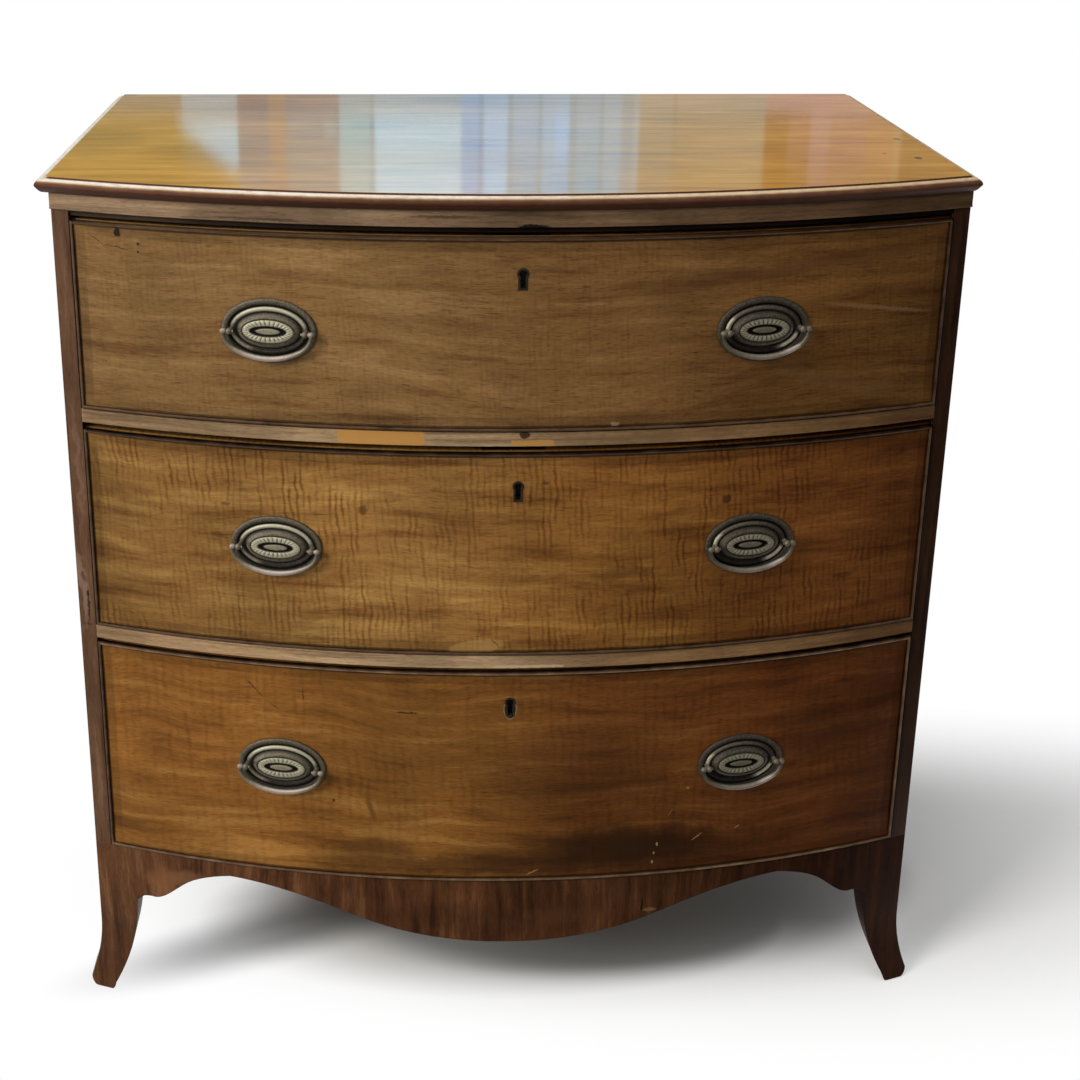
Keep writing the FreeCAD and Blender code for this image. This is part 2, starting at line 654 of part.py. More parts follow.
def make_lock(name):
    """Brass lock: a case in the back of the front, a bolt that rises from it, and the brass
    thread that lines the keyhole."""
    high = front_top(name)
    case = box(f"{name}_lock_blank", "-lock_width/2", LOCK_FRONT_Y, f"{high} - lock_height",
               "lock_width", "lock_deep", "lock_height")
    channel = box(f"{name}_lock_channel", "-bolt_width/2 - bolt_play", f"{BOLT_Y} - bolt_play",
                  f"{high} - bolt_length - bolt_play", "bolt_width + 2*bolt_play",
                  "bolt_thick + 2*bolt_play", "bolt_length + bolt_play + 1")
    key_room = keyhole(name, "key_room", 0, f"{LOCK_FRONT_Y} - 1", "key_room")
    node(f"{name}_lock_case", cut(f"{name}_lock", case, fuse(f"{name}_lock_rooms", channel, key_room)))
    node(f"{name}_lock_bolt", box(f"{name}_bolt", "-bolt_width/2", BOLT_Y, f"{high} - bolt_length",
                                  "bolt_width", "bolt_thick", "bolt_length"))
    outside = keyhole(name, "thread_outer", "thread_wall", f"{FRONT_Y} - thread_proud",
                      "(thread_proud + thread_deep)")
    inside = keyhole(name, "thread_inner", 0, f"{FRONT_Y} - 2", "(thread_deep + 4)")
    node(f"{name}_keyhole_thread", cut(f"{name}_thread", outside, inside))


# ---------------------------------------------------------------- handles
def handle_x(sign, name):
    """Distance of a handle from the chest's middle."""
    return f"right_x_{name}" if sign > 0 else f"left_x_{name}"


def handle_y(sign, name):
    """Where the bowed front is at a handle."""
    return f"({AXIS_Y} - sqrt({BOW_RADIUS}^2 - {handle_x(sign, name)}^2))"


def handle_turn(sign, name):
    """How far the bow turns a handle from straight forwards."""
    return Rotation(Vector(0, 0, 1), sign * value(f"asin({handle_x(sign, name)} / {BOW_RADIUS})"))


def seated(obj, sign, name):
    """A piece made at the origin, facing -Y, set on the bowed front at a handle's place."""
    holder = group(f"{obj.Name}_seated", obj)
    holder.Placement = Placement(Vector(), handle_turn(sign, name))
    place(holder, f"{sign}*{handle_x(sign, name)}", handle_y(sign, name), handle_height(name))
    return holder


def handle_height(name):
    """Height of the handles' pivots: a little above the middle of the drawer front."""
    floor_z = DRAWERS[name][1]
    return f"(({front_top(name)} + {floor_z} + gap_under)/2 + rise_{name})"


def shank_holes(name):
    """Holes through the front for the threaded shanks of the handle posts."""
    holes = []
    for side, sign in SIDES.items():
        pair = [rod(f"{name}_hole_{side}_{end + 1}", "-y", "shank_radius + post_play",
                    "2*front_thick", f"{end}*post_x", "front_thick + shank_end", 0)
                for end in SIDES.values()]
        holes.append(seated(fuse(f"{name}_holes_{side}", *pair), sign, name))
    return holes


def ellipse_disc(name, half_width, half_height, back, front):
    """An oval disc facing -Y, between two distances out from the front."""
    ring = doc.addObject("Part::Ellipse", f"{name}_ring")
    bind(ring, MajorRadius=half_width, MinorRadius=half_height)
    ring.Placement = Placement(Vector(), Rotation(Vector(1, 0, 0), 90))
    place(ring, 0, f"-({back})", 0)
    disc = doc.addObject("Part::Extrusion", name)
    disc.Base = ring
    disc.DirMode = "Custom"
    disc.Dir = Vector(0, -1, 0)
    disc.Solid = True
    bind(disc, LengthFwd=f"({front}) - ({back})")
    return disc


def make_plate(name, side, sign):
    """Stamped oval back plate: rolled rim, raised ridge, and a dome that carries an oval medal."""
    tag = f"{name}_plate_{side}"

    def oval(kind, inset, back, front):
        return ellipse_disc(f"{tag}_{kind}", f"plate_half_width - ({inset})",
                            f"plate_half_height - ({inset})", back, front)
    whole = oval("whole", 0, "-plate_sink", "plate_rim")
    dish = oval("dish", "plate_rim_width", "plate_floor", "plate_rim + 1")
    ridge = cut(f"{tag}_ridge", oval("ridge_outer", "ridge_in", "plate_floor/2", "ridge_rise"),
                oval("ridge_inner", "ridge_in + ridge_width", 0, "ridge_rise + 1"))
    medal = ellipse_disc(f"{tag}_medal", "medal_half_width", "medal_half_height", "plate_floor/2",
                         "medal_rise")
    dome_in = "ridge_in + ridge_width + ridge_gap"
    dome_foot = oval("dome_foot", dome_in, 0, "plate_floor/2")
    dome_head = ellipse_disc(f"{tag}_dome_head", "medal_half_width", "medal_half_height",
                             "dome_rise - plate_floor/2", "dome_rise")
    dome = doc.addObject("Part::Loft", f"{tag}_dome")
    dome.Sections = [dome_foot.Base, dome_head.Base]
    dome.Solid = True
    dome.Ruled = True
    raised = fuse(f"{tag}_raised", cut(f"{tag}_rimmed", whole, dish), ridge, medal, dome)
    holes = [rod(f"{tag}_hole_{end + 1}", "-y", "post_neck + post_play", "4*post_neck + plate_sink",
                 f"{end}*post_x", "2*plate_sink", 0) for end in SIDES.values()]
    stamped = cut(f"{tag}_stamped", raised, fuse(f"{tag}_holes", *holes))
    seat = drum(f"{tag}_seat", 0, f"{handle_height(name)} - plate_half_width",
                "2*plate_half_width")
    return cut(tag, seated(stamped, sign, name), seat)


def make_post(name, side, end):
    """Post that carries one end of the bail: a bored head, a neck and a shank with its nut."""
    tag = f"{name}_post_{side}_{end + 1}"
    x = f"{end}*post_x"
    head = ball(f"{tag}_head", "post_head", x, "-post_out", 0)
    neck = rod(f"{tag}_neck", "-y", "post_neck", "post_out + post_set", x, "post_set", 0)
    shank = rod(f"{tag}_shank", "-y", "shank_radius", "front_thick + shank_end", x,
                "front_thick + shank_end", 0)
    bore = rod(f"{tag}_bore", "x", "pin_radius + pin_play", "4*post_head", f"{x} - 2*post_head",
               "-post_out", 0)
    post = cut(f"{tag}_bored", fuse(f"{tag}_turned", head, neck, shank), bore)
    nut_blank = box(f"{tag}_nut_blank", f"{x} - nut_size/2", "front_thick + nut_gap", "-nut_size/2",
                    "nut_size", "nut_thick", "nut_size")
    nut_bore = rod(f"{tag}_nut_bore", "-y", "shank_radius + post_play", "2*shank_end + nut_thick",
                   x, "front_thick + 2*shank_end", 0)
    return group(f"{tag}_pair", post, cut(f"{tag}_nut", nut_blank, nut_bore))


def bail_shape():
    """The bail, hanging from y = 0, z = 0: a wire bent to three arcs, with a ball and an inward
    pin at each end."""
    half = value("bail_half_width")
    drop = value("bail_drop")
    end_radius = value("bail_end_radius")
    wire_radius = value("bail_wire")
    end_x = half - end_radius
    low_radius = (end_x ** 2 + drop ** 2 - end_radius ** 2) / (2 * (drop - end_radius))
    low_z = low_radius - drop
    lean = math.atan2(end_x, low_z)

    def on_end(angle, sign):
        return Vector(sign * (end_x + end_radius * math.cos(angle)), 0, -end_radius * math.sin(angle))

    def on_low(angle):
        return Vector(low_radius * math.sin(angle), 0, low_z - low_radius * math.cos(angle))
    turn = math.pi / 2 - lean
    left = arc(on_end(0, -1), on_end(turn / 2, -1), on_end(turn, -1))
    low = arc(on_low(-lean), on_low(0), on_low(lean))
    right = arc(on_end(turn, 1), on_end(turn / 2, 1), on_end(0, 1))
    path = Part.Wire([left, low, right])
    ring = Part.Wire(Part.makeCircle(wire_radius, Vector(-half, 0, 0), Vector(0, 0, 1)))
    shape = path.makePipeShell([ring], True, True)
    pin_length = half - value("pin_inner_x")
    for sign in SIDES.values():
        knob = Part.makeSphere(value("bail_ball"), Vector(sign * half, 0, 0))
        pin = Part.makeCylinder(value("pin_radius"), pin_length, Vector(sign * half, 0, 0),
                                Vector(-sign, 0, 0))
        shape = shape.fuse([knob, pin])
    return shape.removeSplitter()


def make_handles(name):
    """Two handles on one drawer: plates, posts with nuts, and the bails that swing on them."""
    plates = []
    posts = []
    for side, sign in SIDES.items():
        plates.append(make_plate(name, side, sign))
        for end in SIDES.values():
            posts.append(seated(make_post(name, side, end), sign, name))
        turn = handle_turn(sign, name)
        seat = Vector(sign * value(handle_x(sign, name)), value(handle_y(sign, name)),
                      value(handle_height(name)))
        pivot = seat + turn.multVec(Vector(0, -value("post_out"), 0))
        bail = doc.addObject("Part::Feature", f"{name}_bail_shape_{side}")
        bail.Shape = bail_shape()
        bail.Placement = Placement(pivot, turn)
        node(f"{name}_bail_{side}", bail)
        along = turn.multVec(Vector(1, 0, 0))
        print(f"{name} bail {side}: pivot {pivot.x:.4f} {pivot.y:.4f} {pivot.z:.4f},",
              f"along {along.x:.6f} {along.y:.6f}")
    node(f"{name}_handle_plates", group(f"{name}_plate_group", *plates))
    node(f"{name}_handle_posts", group(f"{name}_post_group", *posts))


# ---------------------------------------------------------------- build, check and write
make_top_board()
make_sides()
make_stile_facings()
make_frieze_band()
make_rails()
make_runners()
make_drawer_stops()
make_back_and_bottom()
make_apron_front()
make_side_aprons()
make_feet()
make_glue_blocks()
for drawer in DRAWERS:
    make_drawer_box(drawer)
    make_lock(drawer)
    make_handles(drawer)
doc.recompute()

for obj in doc.Objects:
    if "Invalid" in obj.State or "Error" in obj.State:
        raise RuntimeError(f"{obj.Name} failed: {obj.State}")
labels = [obj.Label for obj in nodes.values()]
if len(set(labels)) != len(labels):
    raise RuntimeError("two sub-parts share a label")

os.makedirs("parts", exist_ok=True)
for name, obj in nodes.items():
    shape = obj.Shape
    if shape.isNull() or not shape.isValid() or not shape.Solids:
        raise RuntimeError(f"{name} has no valid solid")
    shape.exportStep(f"parts/{name}.step")
    bounds = shape.optimalBoundingBox(True, False)
    print(f"{name}: {len(shape.Solids)} solids, {shape.Volume / 1000:.1f} cm3,",
          f"x {bounds.XMin:.1f} {bounds.XMax:.1f}, y {bounds.YMin:.1f} {bounds.YMax:.1f},",
          f"z {bounds.ZMin:.1f} {bounds.ZMax:.1f}")
print(len(nodes), "sub-parts")
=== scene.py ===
# %% [markdown]
# # A bow front chest of drawers, dressed in Blender
#
# The frame of this lesson is a solid model of an old mahogany chest: a case, three drawers, six
# swinging handles and three locks. It already has the right sizes and the right joints. What it
# lacks is looks, so each cell below takes one piece or one finish, says what it is on the real
# chest, and builds it in numpy and in shader nodes.

import math

import bmesh
import bpy
import numpy as np
from mathutils import Matrix


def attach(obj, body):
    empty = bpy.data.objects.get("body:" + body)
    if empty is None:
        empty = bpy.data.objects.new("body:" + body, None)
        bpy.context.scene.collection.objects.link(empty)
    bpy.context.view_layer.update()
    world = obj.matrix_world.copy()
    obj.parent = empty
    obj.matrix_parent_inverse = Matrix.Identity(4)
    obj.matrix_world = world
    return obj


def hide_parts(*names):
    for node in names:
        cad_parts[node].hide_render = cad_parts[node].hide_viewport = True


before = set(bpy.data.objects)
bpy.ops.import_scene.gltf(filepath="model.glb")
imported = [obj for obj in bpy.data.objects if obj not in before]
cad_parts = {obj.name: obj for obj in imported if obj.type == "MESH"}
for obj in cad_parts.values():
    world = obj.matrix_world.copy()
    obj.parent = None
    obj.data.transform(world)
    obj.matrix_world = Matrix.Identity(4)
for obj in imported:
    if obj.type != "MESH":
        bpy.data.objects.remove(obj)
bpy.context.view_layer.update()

# %% [markdown]
# ## The bow
#
# Everything on the front follows one upright cylinder, the bow. A cabinet maker cuts one template
# for it and uses it for the top, the rails and the drawer fronts. Here the template is a function:
# how far back the surface lies at each distance from the middle. Points are in metres, and sizes
# that a cabinet maker would write in millimetres are, with MM to turn them into metres.

# %% The bow of the front
MM = 0.001
CASE_WIDTH = 915 * MM
BOW_RISE = 84 * MM
FRONT_Y = -291 * MM
BOW_RADIUS = ((CASE_WIDTH / 2) ** 2 + BOW_RISE ** 2) / (2 * BOW_RISE)
AXIS_Y = FRONT_Y + BOW_RADIUS
# the low and the high edge of each drawer front, half its length, and the width of its beads, in mm
DRAWERS = {"upper": (705.0, 901.0), "middle": (459.5, 682.0), "lower": (187.0, 439.5)}
FRONT_HALF = 438.5
BEAD_WIDE = 3.5


def bow_y(x, proud=0.0):
    """The bow's surface: an upright cylinder of radius BOW_RADIUS plus proud, round an axis at AXIS_Y.

    y = AXIS_Y - sqrt((BOW_RADIUS + proud)^2 - x^2)."""
    return AXIS_Y - np.sqrt((BOW_RADIUS + proud) ** 2 - np.square(x))


print("bow radius", round(BOW_RADIUS, 4), "m; the corner lies", round(float(bow_y(CASE_WIDTH / 2)), 4))

# %% [markdown]
# ## Camera
#
# The chest is seen from a standing height, a little to the left of its middle, with a slightly long
# lens. The lens axis meets the picture above and to the left of its middle, as if the edges of a
# wider view were cut away, and the camera's shift does that without turning the camera.

# %% Camera
PICTURE = 1080
EYE = (-107.8 * MM, -1872.2 * MM, 1286.7 * MM)
YAW = math.radians(1.094)
PITCH = math.radians(18.798)
ROLL = math.radians(0.131)
FOCAL_PIXELS = 1710.1
AXIS_PIXEL = (436.1, 390.0)
SENSOR_MM = 36
FARTHEST = 60

forward = np.array([math.sin(YAW) * math.cos(PITCH), math.cos(YAW) * math.cos(PITCH), -math.sin(PITCH)])
level = np.array([math.cos(YAW), -math.sin(YAW), 0.0])
upright = np.cross(level, forward)
sideways = level * math.cos(ROLL) + upright * math.sin(ROLL)
above = upright * math.cos(ROLL) - level * math.sin(ROLL)

camera_data = bpy.data.cameras.new("camera")
camera = bpy.data.objects.new("camera", camera_data)
bpy.context.scene.collection.objects.link(camera)
pose = np.eye(4)
pose[:3, 0] = sideways
pose[:3, 1] = above
pose[:3, 2] = -forward
pose[:3, 3] = EYE
camera.matrix_world = Matrix(pose.tolist())
camera_data.sensor_width = SENSOR_MM
camera_data.lens = FOCAL_PIXELS * camera_data.sensor_width / PICTURE
camera_data.shift_x = (PICTURE / 2 - AXIS_PIXEL[0]) / PICTURE
camera_data.shift_y = (AXIS_PIXEL[1] - PICTURE / 2) / PICTURE
camera_data.clip_end = FARTHEST
bpy.context.scene.camera = camera
print("lens", round(camera_data.lens, 1), "mm")

# %% [markdown]
# ## Adding nodes
#
# Every finish is a tree of shader nodes. A few helpers keep the trees readable. One turns a colour
# from the hex value that a paint chart shows into the linear values that light is added up in. One
# adds a node, with its settings and with what feeds it. The others add the nodes that come back all
# the time: a noise, a change of range, a ramp of colours, and one colour over another.

# %% Colours and nodes
def colour(hex_value):
    """An sRGB hex colour as linear red, green, blue and alpha."""
    parts = [int(hex_value[i:i + 2], 16) / 255 for i in (1, 3, 5)]
    return [p / 12.92 if p <= 0.04045 else ((p + 0.055) / 1.055) ** 2.4 for p in parts] + [1.0]


def find(sockets, key):
    """A socket by its number, or the first one in use by its name."""
    if isinstance(key, int):
        return sockets[key]
    return next(s for s in sockets if s.name == key and s.enabled)


def feed(tree, node, inputs):
    """Sets inputs of a node, by number or name: each to a plain value, a node or a node's output."""
    for key, value in inputs.items():
        if isinstance(value, bpy.types.Node):
            value = next(s for s in value.outputs if s.enabled)
        if isinstance(value, bpy.types.NodeSocket):
            tree.links.new(value, find(node.inputs, key))
        else:
            find(node.inputs, key).default_value = value


def add(tree, kind, inputs=None, **settings):
    """Adds one node, with its own settings and with what feeds its inputs."""
    node = tree.nodes.new("ShaderNode" + kind)
    for key, value in settings.items():
        setattr(node, key, value)
    feed(tree, node, inputs or {})
    return node


def noise(tree, points, scale, detail, roughness=0.5, distortion=0.0):
    """A noise read at the points."""
    return add(tree, "TexNoise", {"Vector": points, "Scale": scale, "Detail": detail,
                                  "Roughness": roughness, "Distortion": distortion})


def drawn_out(tree, points, scale, detail, roughness=0.5, distortion=0.0):
    """A noise that is squeezed along x, y and z by scale, so a low number draws it out that way."""
    squeezed = add(tree, "Mapping", {"Vector": points, "Scale": scale})
    return noise(tree, squeezed, 1.0, detail, roughness, distortion)


def remap(tree, value, start, stop, low=0.0, high=1.0, curve="LINEAR"):
    """Turns the range from start to stop into the range from low to high, and stays inside it."""
    return add(tree, "MapRange", {"Value": value, "From Min": start, "From Max": stop, "To Min": low,
                                  "To Max": high}, interpolation_type=curve)


def ramp(tree, source, stops):
    """A colour ramp over a factor: stops are pairs of a place, from 0 to 1, and a hex colour or four
    linear values."""
    node = add(tree, "ValToRGB", {0: source})
    node.color_ramp.interpolation = "EASE"
    while len(node.color_ramp.elements) < len(stops):
        node.color_ramp.elements.new(0.5)
    for element, (at, shade) in zip(node.color_ramp.elements, stops):
        element.position = at
        element.color = colour(shade) if isinstance(shade, str) else shade
    return node.outputs[0]


def over(tree, base, layer, share=1.0, blend="MULTIPLY"):
    """One colour laid over another: a share of the base is multiplied by it, or replaced with MIX."""
    mix = add(tree, "Mix", {"Factor": share, "A": base, "B": layer}, data_type="RGBA", blend_type=blend)
    return find(mix.outputs, "Result")


def emptied(owner):
    """The node tree of a new material or world, with nothing in it."""
    owner.use_nodes = True
    owner.node_tree.nodes.clear()
    return owner.node_tree


def object_place(tree):
    """The coordinates of each point in its own object."""
    return add(tree, "TexCoord").outputs["Object"]


def blank_material(name):
    """An empty material: its tree, its shader and its object coordinates."""
    material = bpy.data.materials.new(name)
    tree = emptied(material)
    shader = add(tree, "BsdfPrincipled")
    add(tree, "OutputMaterial", {"Surface": shader})
    return material, tree, shader, object_place(tree)


# %% [markdown]
# ## The room: a white floor, a soft lamp and a tall window behind
#
# The chest stands on a seamless white floor. Camera and mirror rays see the floor as white paper, while the
# light that it throws back up is that of a duller floor, which keeps the undersides as deep as in a room.
# Outside two ovals round the chest the paper glows white over any shadow, and inside them painted shadows
# darken its colour and glow under the chest and in a streak that runs back to the right from its left foot.
# The main light is a large soft lamp from the front left, so the bow turns darker towards the right, and
# the woods are painted darker there as well.

# %% Floor and background
scene = bpy.context.scene
scene.view_settings.view_transform = "Standard"

FLOOR_HALF = 40.0
SHADED_FLOOR = [
    # middle x and y, half length, half depth and softness of the two places that stay in shade
    (0.07, -0.07, 0.39, 0.165, 0.27), (0.46, 0.025, 0.70, 0.265, 0.54)]
PAINTED_FLOOR_SHADOW = [
    # painted shadows: the same, with a turn in degrees and the share by which each darkens the floor
    (0.14, 0.0, 0.37, 0.21, 0.13, 0, 0.56), (-0.26, -0.12, 0.175, 0.041, 0.73, 23, 0.63)]


def quad(start, stop):
    """The four corners of a flat sheet, from two opposite ones that share one coordinate."""
    first, second = (axis for axis in range(3) if start[axis] != stop[axis])
    corners = [list(start) for _ in range(4)]
    corners[1][first] = corners[2][first] = stop[first]
    corners[2][second] = corners[3][second] = stop[second]
    return corners


def staged_sheet(name, corners, paint):
    """A four-sided sheet of the room, which is no piece of the chest."""
    mesh = bpy.data.meshes.new(name)
    mesh.from_pydata(corners, [], [(0, 1, 2, 3)])
    mesh.materials.append(paint)
    sheet = bpy.data.objects.new(name, mesh)
    scene.collection.objects.link(sheet)
    return sheet


def seen_or_mirrored(tree):
    """1 for the rays of the camera, of mirrors and of glass, and 0 for the rays that carry light."""
    rays = add(tree, "LightPath").outputs
    seen = add(tree, "Math", {0: rays["Is Camera Ray"], 1: rays["Is Glossy Ray"]}, operation="MAXIMUM")
    return add(tree, "Math", {0: seen, 1: rays["Is Transmission Ray"]}, operation="MAXIMUM")


def floor_spot(tree, middle_x, middle_y, half_x, half_y, soft, turn=0.0, inner=0.0):
    """An oval on the floor: inner within it and 1 outside, with a soft edge as wide as soft times
    its half sizes to either side."""
    spot = add(tree, "Mapping", {
        "Vector": object_place(tree), "Location": (middle_x, middle_y, 0),
        "Rotation": (0, 0, math.radians(turn)), "Scale": (half_x, half_y, 1)}, vector_type="TEXTURE")
    away = add(tree, "VectorMath", {0: spot}, operation="LENGTH")
    return remap(tree, away.outputs["Value"], 1 - soft, 1 + soft, inner, 1.0, "SMOOTHSTEP")


paper = bpy.data.materials.new("floor_paper")
tree = emptied(paper)
seen = seen_or_mirrored(tree)
shaded = [floor_spot(tree, *oval) for oval in SHADED_FLOOR]
far = add(tree, "Math", dict(enumerate(shaded)), operation="MINIMUM")
# painted shadows: both ovals darken the floor's colour, and the second also dims its glow
under, beside = (floor_spot(tree, *oval, inner=1 - lost) for *oval, lost in PAINTED_FLOOR_SHADOW)
sheet_colour = over(tree, colour("#8c8c8c"), colour("#fbfbfb"), seen, "MIX")
for shade in (under, beside):
    sheet_colour = over(tree, sheet_colour, shade)
glow = add(tree, "Math", {0: seen, 1: far}, operation="MULTIPLY")
matt = add(tree, "BsdfDiffuse", {"Color": sheet_colour})
light = add(tree, "Emission", {"Strength": beside})
add(tree, "OutputMaterial", {"Surface": add(tree, "MixShader", {0: glow, 1: matt, 2: light})})
staged_sheet("floor", quad((-FLOOR_HALF, -FLOOR_HALF, 0), (FLOOR_HALF, FLOOR_HALF, 0)), paper)

WORLD_LIGHT = 0.42
world = bpy.data.worlds.new("room")
scene.world = world
tree = emptied(world)
air_strength = add(tree, "Mix", {"A": WORLD_LIGHT, "B": 1.0, "Factor": seen_or_mirrored(tree)},
                   data_type="FLOAT")
air = add(tree, "Background", {"Color": colour("#ffffff"), "Strength": air_strength})
add(tree, "OutputWorld", {"Surface": air})
print("background strength for light", WORLD_LIGHT)


# %% Lamps
def soft_lamp(name, place, target, size, watts, tint):
    """A square lamp at a place, turned to face a target."""
    data = bpy.data.lights.new(name, "AREA")
    data.size = size
    data.energy = watts
    data.color = colour(tint)[:3]
    lamp = bpy.data.objects.new(name, data)
    scene.collection.objects.link(lamp)
    away = np.array(place, float) - np.array(target, float)
    away /= np.linalg.norm(away)
    across = np.cross((0, 0, 1), away)
    across /= np.linalg.norm(across)
    turned = np.eye(4)
    turned[:3, 0] = across
    turned[:3, 1] = np.cross(away, across)
    turned[:3, 2] = away
    turned[:3, 3] = place
    lamp.matrix_world = Matrix(turned.tolist())
    lamp.visible_glossy = False


soft_lamp("main_lamp", (-2.6, -2.3, 2.3), (0, 0, 0.5), 1.5, 95, "#fffdf8")
soft_lamp("top_lamp", (-0.4, -0.4, 4.0), (0, 0, 0.9), 2.2, 60, "#ffffff")

# %% [markdown]
# ## The screen behind the chest
#
# The polished top mirrors what stands behind the chest at a low angle, so a plain white studio
# would turn it to milk. A dark screen with a few lit panes stands there instead. It shows only in
# reflections: warm and dim, with a tall window in its middle.

# %% Cards
CARD_NEAR = -0.31
CARD_FAR = -4.6
CARD_BACK = 1.5
CARD_HIGH = 3.4
CARD_SIDE = 3.6
CARPET = 0.003
# between these two distances from the middle a card's light falls from its left to its right value
FADE_FROM = -1.8
FADE_TO = 1.2


def lit_sheet(name, corners, paint, tint, strength):
    """A glowing four-sided sheet that only mirror rays meet, in the given empty paint."""
    sheet = staged_sheet(name, corners, paint)
    for kind in ("camera", "diffuse", "transmission", "shadow", "volume_scatter"):
        setattr(sheet, "visible_" + kind, False)
    tree = paint.node_tree
    add(tree, "OutputMaterial", {"Surface": add(tree, "Emission", {"Color": tint, "Strength": strength})})


# each card: two opposite corners, its tint, and its light on the left and on the right
CARDS = {
    "carpet_card": ((-CARD_SIDE, CARD_FAR, CARPET), (CARD_SIDE, CARD_NEAR, CARPET), "#c8bdb0", 0.30, 0.03),
    "wall_card": ((-CARD_SIDE, CARD_FAR, 0), (CARD_SIDE, CARD_FAR, CARD_HIGH), "#e6ded6", 0.50, 0.04),
    "ceiling_card": ((-CARD_SIDE, CARD_FAR, CARD_HIGH), (CARD_SIDE, CARD_BACK, CARD_HIGH), "#f2ece8",
                     0.9, 0.1),
    "right_card": ((CARD_SIDE, CARD_FAR, 0), (CARD_SIDE, CARD_BACK, CARD_HIGH), "#8a7c70", 0.2, 0.08)}
for name, (start, stop, tint, left, right) in CARDS.items():
    paint = bpy.data.materials.new(name + "_paint")
    tree = emptied(paint)
    split = add(tree, "SeparateXYZ", {0: object_place(tree)})
    strength = remap(tree, split.outputs["X"], FADE_FROM, FADE_TO, left, right, "SMOOTHSTEP")
    lit_sheet(name, quad(start, stop), paint, colour(tint), strength)
print("cards stand", -CARD_FAR, "m in front")

# %% Window screen
SCREEN_Y = 2.0
FLOOR_EDGE = 0.4
SILL = 1.255
HEAD = 1.375
CEILING_EDGE = 2.8
# pieces that lie over each other stand this far apart, and the bars so many layers in front
LAYER = 0.002
BAR_LAYERS = 6
SCREEN_LEFT = -2.6
# Each column of the screen, from the left: where it ends, in metres from the middle, and its light
# as red, green and blue below the sill, between the sill and the head, and above the head.
COLUMNS = [
    (-0.610, (0.14, 0.30, 0.34), (0.18, 0.25, 0.13), (0.20, 0.22, 0.10)),
    (-0.485, (0.25, 0.56, 0.78), (0.18, 0.30, 0.20), (0.20, 0.24, 0.12)),
    (-0.415, (0.05, 0.20, 0.36), (0.10, 0.34, 0.52), (0.14, 0.38, 0.54)),
    (-0.375, (0.22, 0.28, 0.34), (0.30, 0.38, 0.44), (0.26, 0.38, 0.50)),
    (-0.255, (0.08, 0.25, 0.42), (0.14, 0.42, 0.60), (0.18, 0.48, 0.66)),
    (-0.185, (0.15, 0.52, 0.76), (0.24, 0.85, 1.12), (0.40, 1.02, 1.28)),
    (-0.175, (0.10, 0.45, 0.66), (0.14, 0.62, 0.88), (0.20, 0.70, 0.95)),
    (0.022, (0.15, 0.58, 0.88), (0.46, 1.14, 1.55), (0.66, 1.46, 1.95)),
    (0.062, (0.10, 0.60, 1.10), (0.10, 0.78, 1.48), (0.20, 0.90, 1.70)),
    (0.073, (0.00, 0.50, 0.90), (0.00, 0.55, 1.10), (0.00, 0.60, 1.20)),
    (0.128, (0.15, 0.66, 1.10), (0.30, 1.00, 1.66), (0.30, 1.16, 1.93)),
    (0.140, (0.05, 0.50, 0.80), (0.05, 0.60, 0.95), (0.05, 0.60, 0.95)),
    (0.197, (0.12, 0.58, 0.95), (0.20, 0.80, 1.30), (0.06, 0.76, 1.30)),
    (0.207, (0.05, 0.50, 0.80), (0.05, 0.60, 0.95), (0.05, 0.60, 0.95)),
    (0.237, (0.15, 0.60, 1.00), (0.22, 0.87, 1.42), (0.10, 0.86, 1.50)),
    (0.268, (0.15, 0.62, 1.00), (0.26, 1.00, 1.76), (0.10, 0.86, 1.50)),
    (0.285, (0.10, 0.50, 0.75), (0.10, 0.60, 0.90), (0.05, 0.62, 0.95)),
    (0.338, (0.15, 0.55, 0.85), (0.22, 0.76, 1.14), (0.06, 0.78, 1.26)),
    (0.347, (0.12, 0.48, 0.70), (0.14, 0.58, 0.85), (0.05, 0.60, 0.95)),
    (0.387, (0.18, 0.58, 0.85), (0.30, 0.78, 1.10), (0.14, 0.80, 1.24)),
    (0.415, (0.18, 0.48, 0.66), (0.22, 0.58, 0.78), (0.20, 0.58, 0.78)),
    (0.427, (0.28, 0.55, 0.70), (0.36, 0.72, 0.90), (0.36, 0.72, 0.90)),
    (0.505, (0.34, 0.47, 0.50), (0.27, 0.42, 0.43), (0.24, 0.40, 0.40)),
    (0.512, (0.28, 0.38, 0.40), (0.20, 0.33, 0.33), (0.20, 0.33, 0.33)),
    (0.715, (0.38, 0.47, 0.48), (0.29, 0.39, 0.36), (0.26, 0.34, 0.30)),
    (0.770, (0.54, 0.43, 0.47), (0.18, 0.12, 0.09), (0.15, 0.10, 0.06)),
    (0.820, (0.53, 0.41, 0.46), (0.30, 0.20, 0.20), (0.20, 0.14, 0.10)),
    (0.865, (0.53, 0.40, 0.46), (0.42, 0.32, 0.38), (0.34, 0.26, 0.30)),
    (0.950, (0.52, 0.40, 0.45), (0.37, 0.26, 0.28), (0.32, 0.24, 0.22)),
    (1.015, (0.46, 0.36, 0.38), (0.42, 0.28, 0.22), (0.32, 0.24, 0.18)),
    (1.030, (0.46, 0.38, 0.38), (0.40, 0.36, 0.28), (0.36, 0.32, 0.24)),
    (2.600, (0.30, 0.24, 0.22), (0.15, 0.15, 0.13), (0.14, 0.13, 0.10))]
# each bar of the window: its two ends, its low and high edge, and its light
BARS = [(-0.26, 0.42, 1.360, 1.375, (0.05, 0.62, 1.00)), (-0.17, 0.42, 1.313, 1.318, (0.10, 0.66, 1.10)),
        (-0.17, 0.42, 1.278, 1.282, (0.12, 0.60, 1.00))]
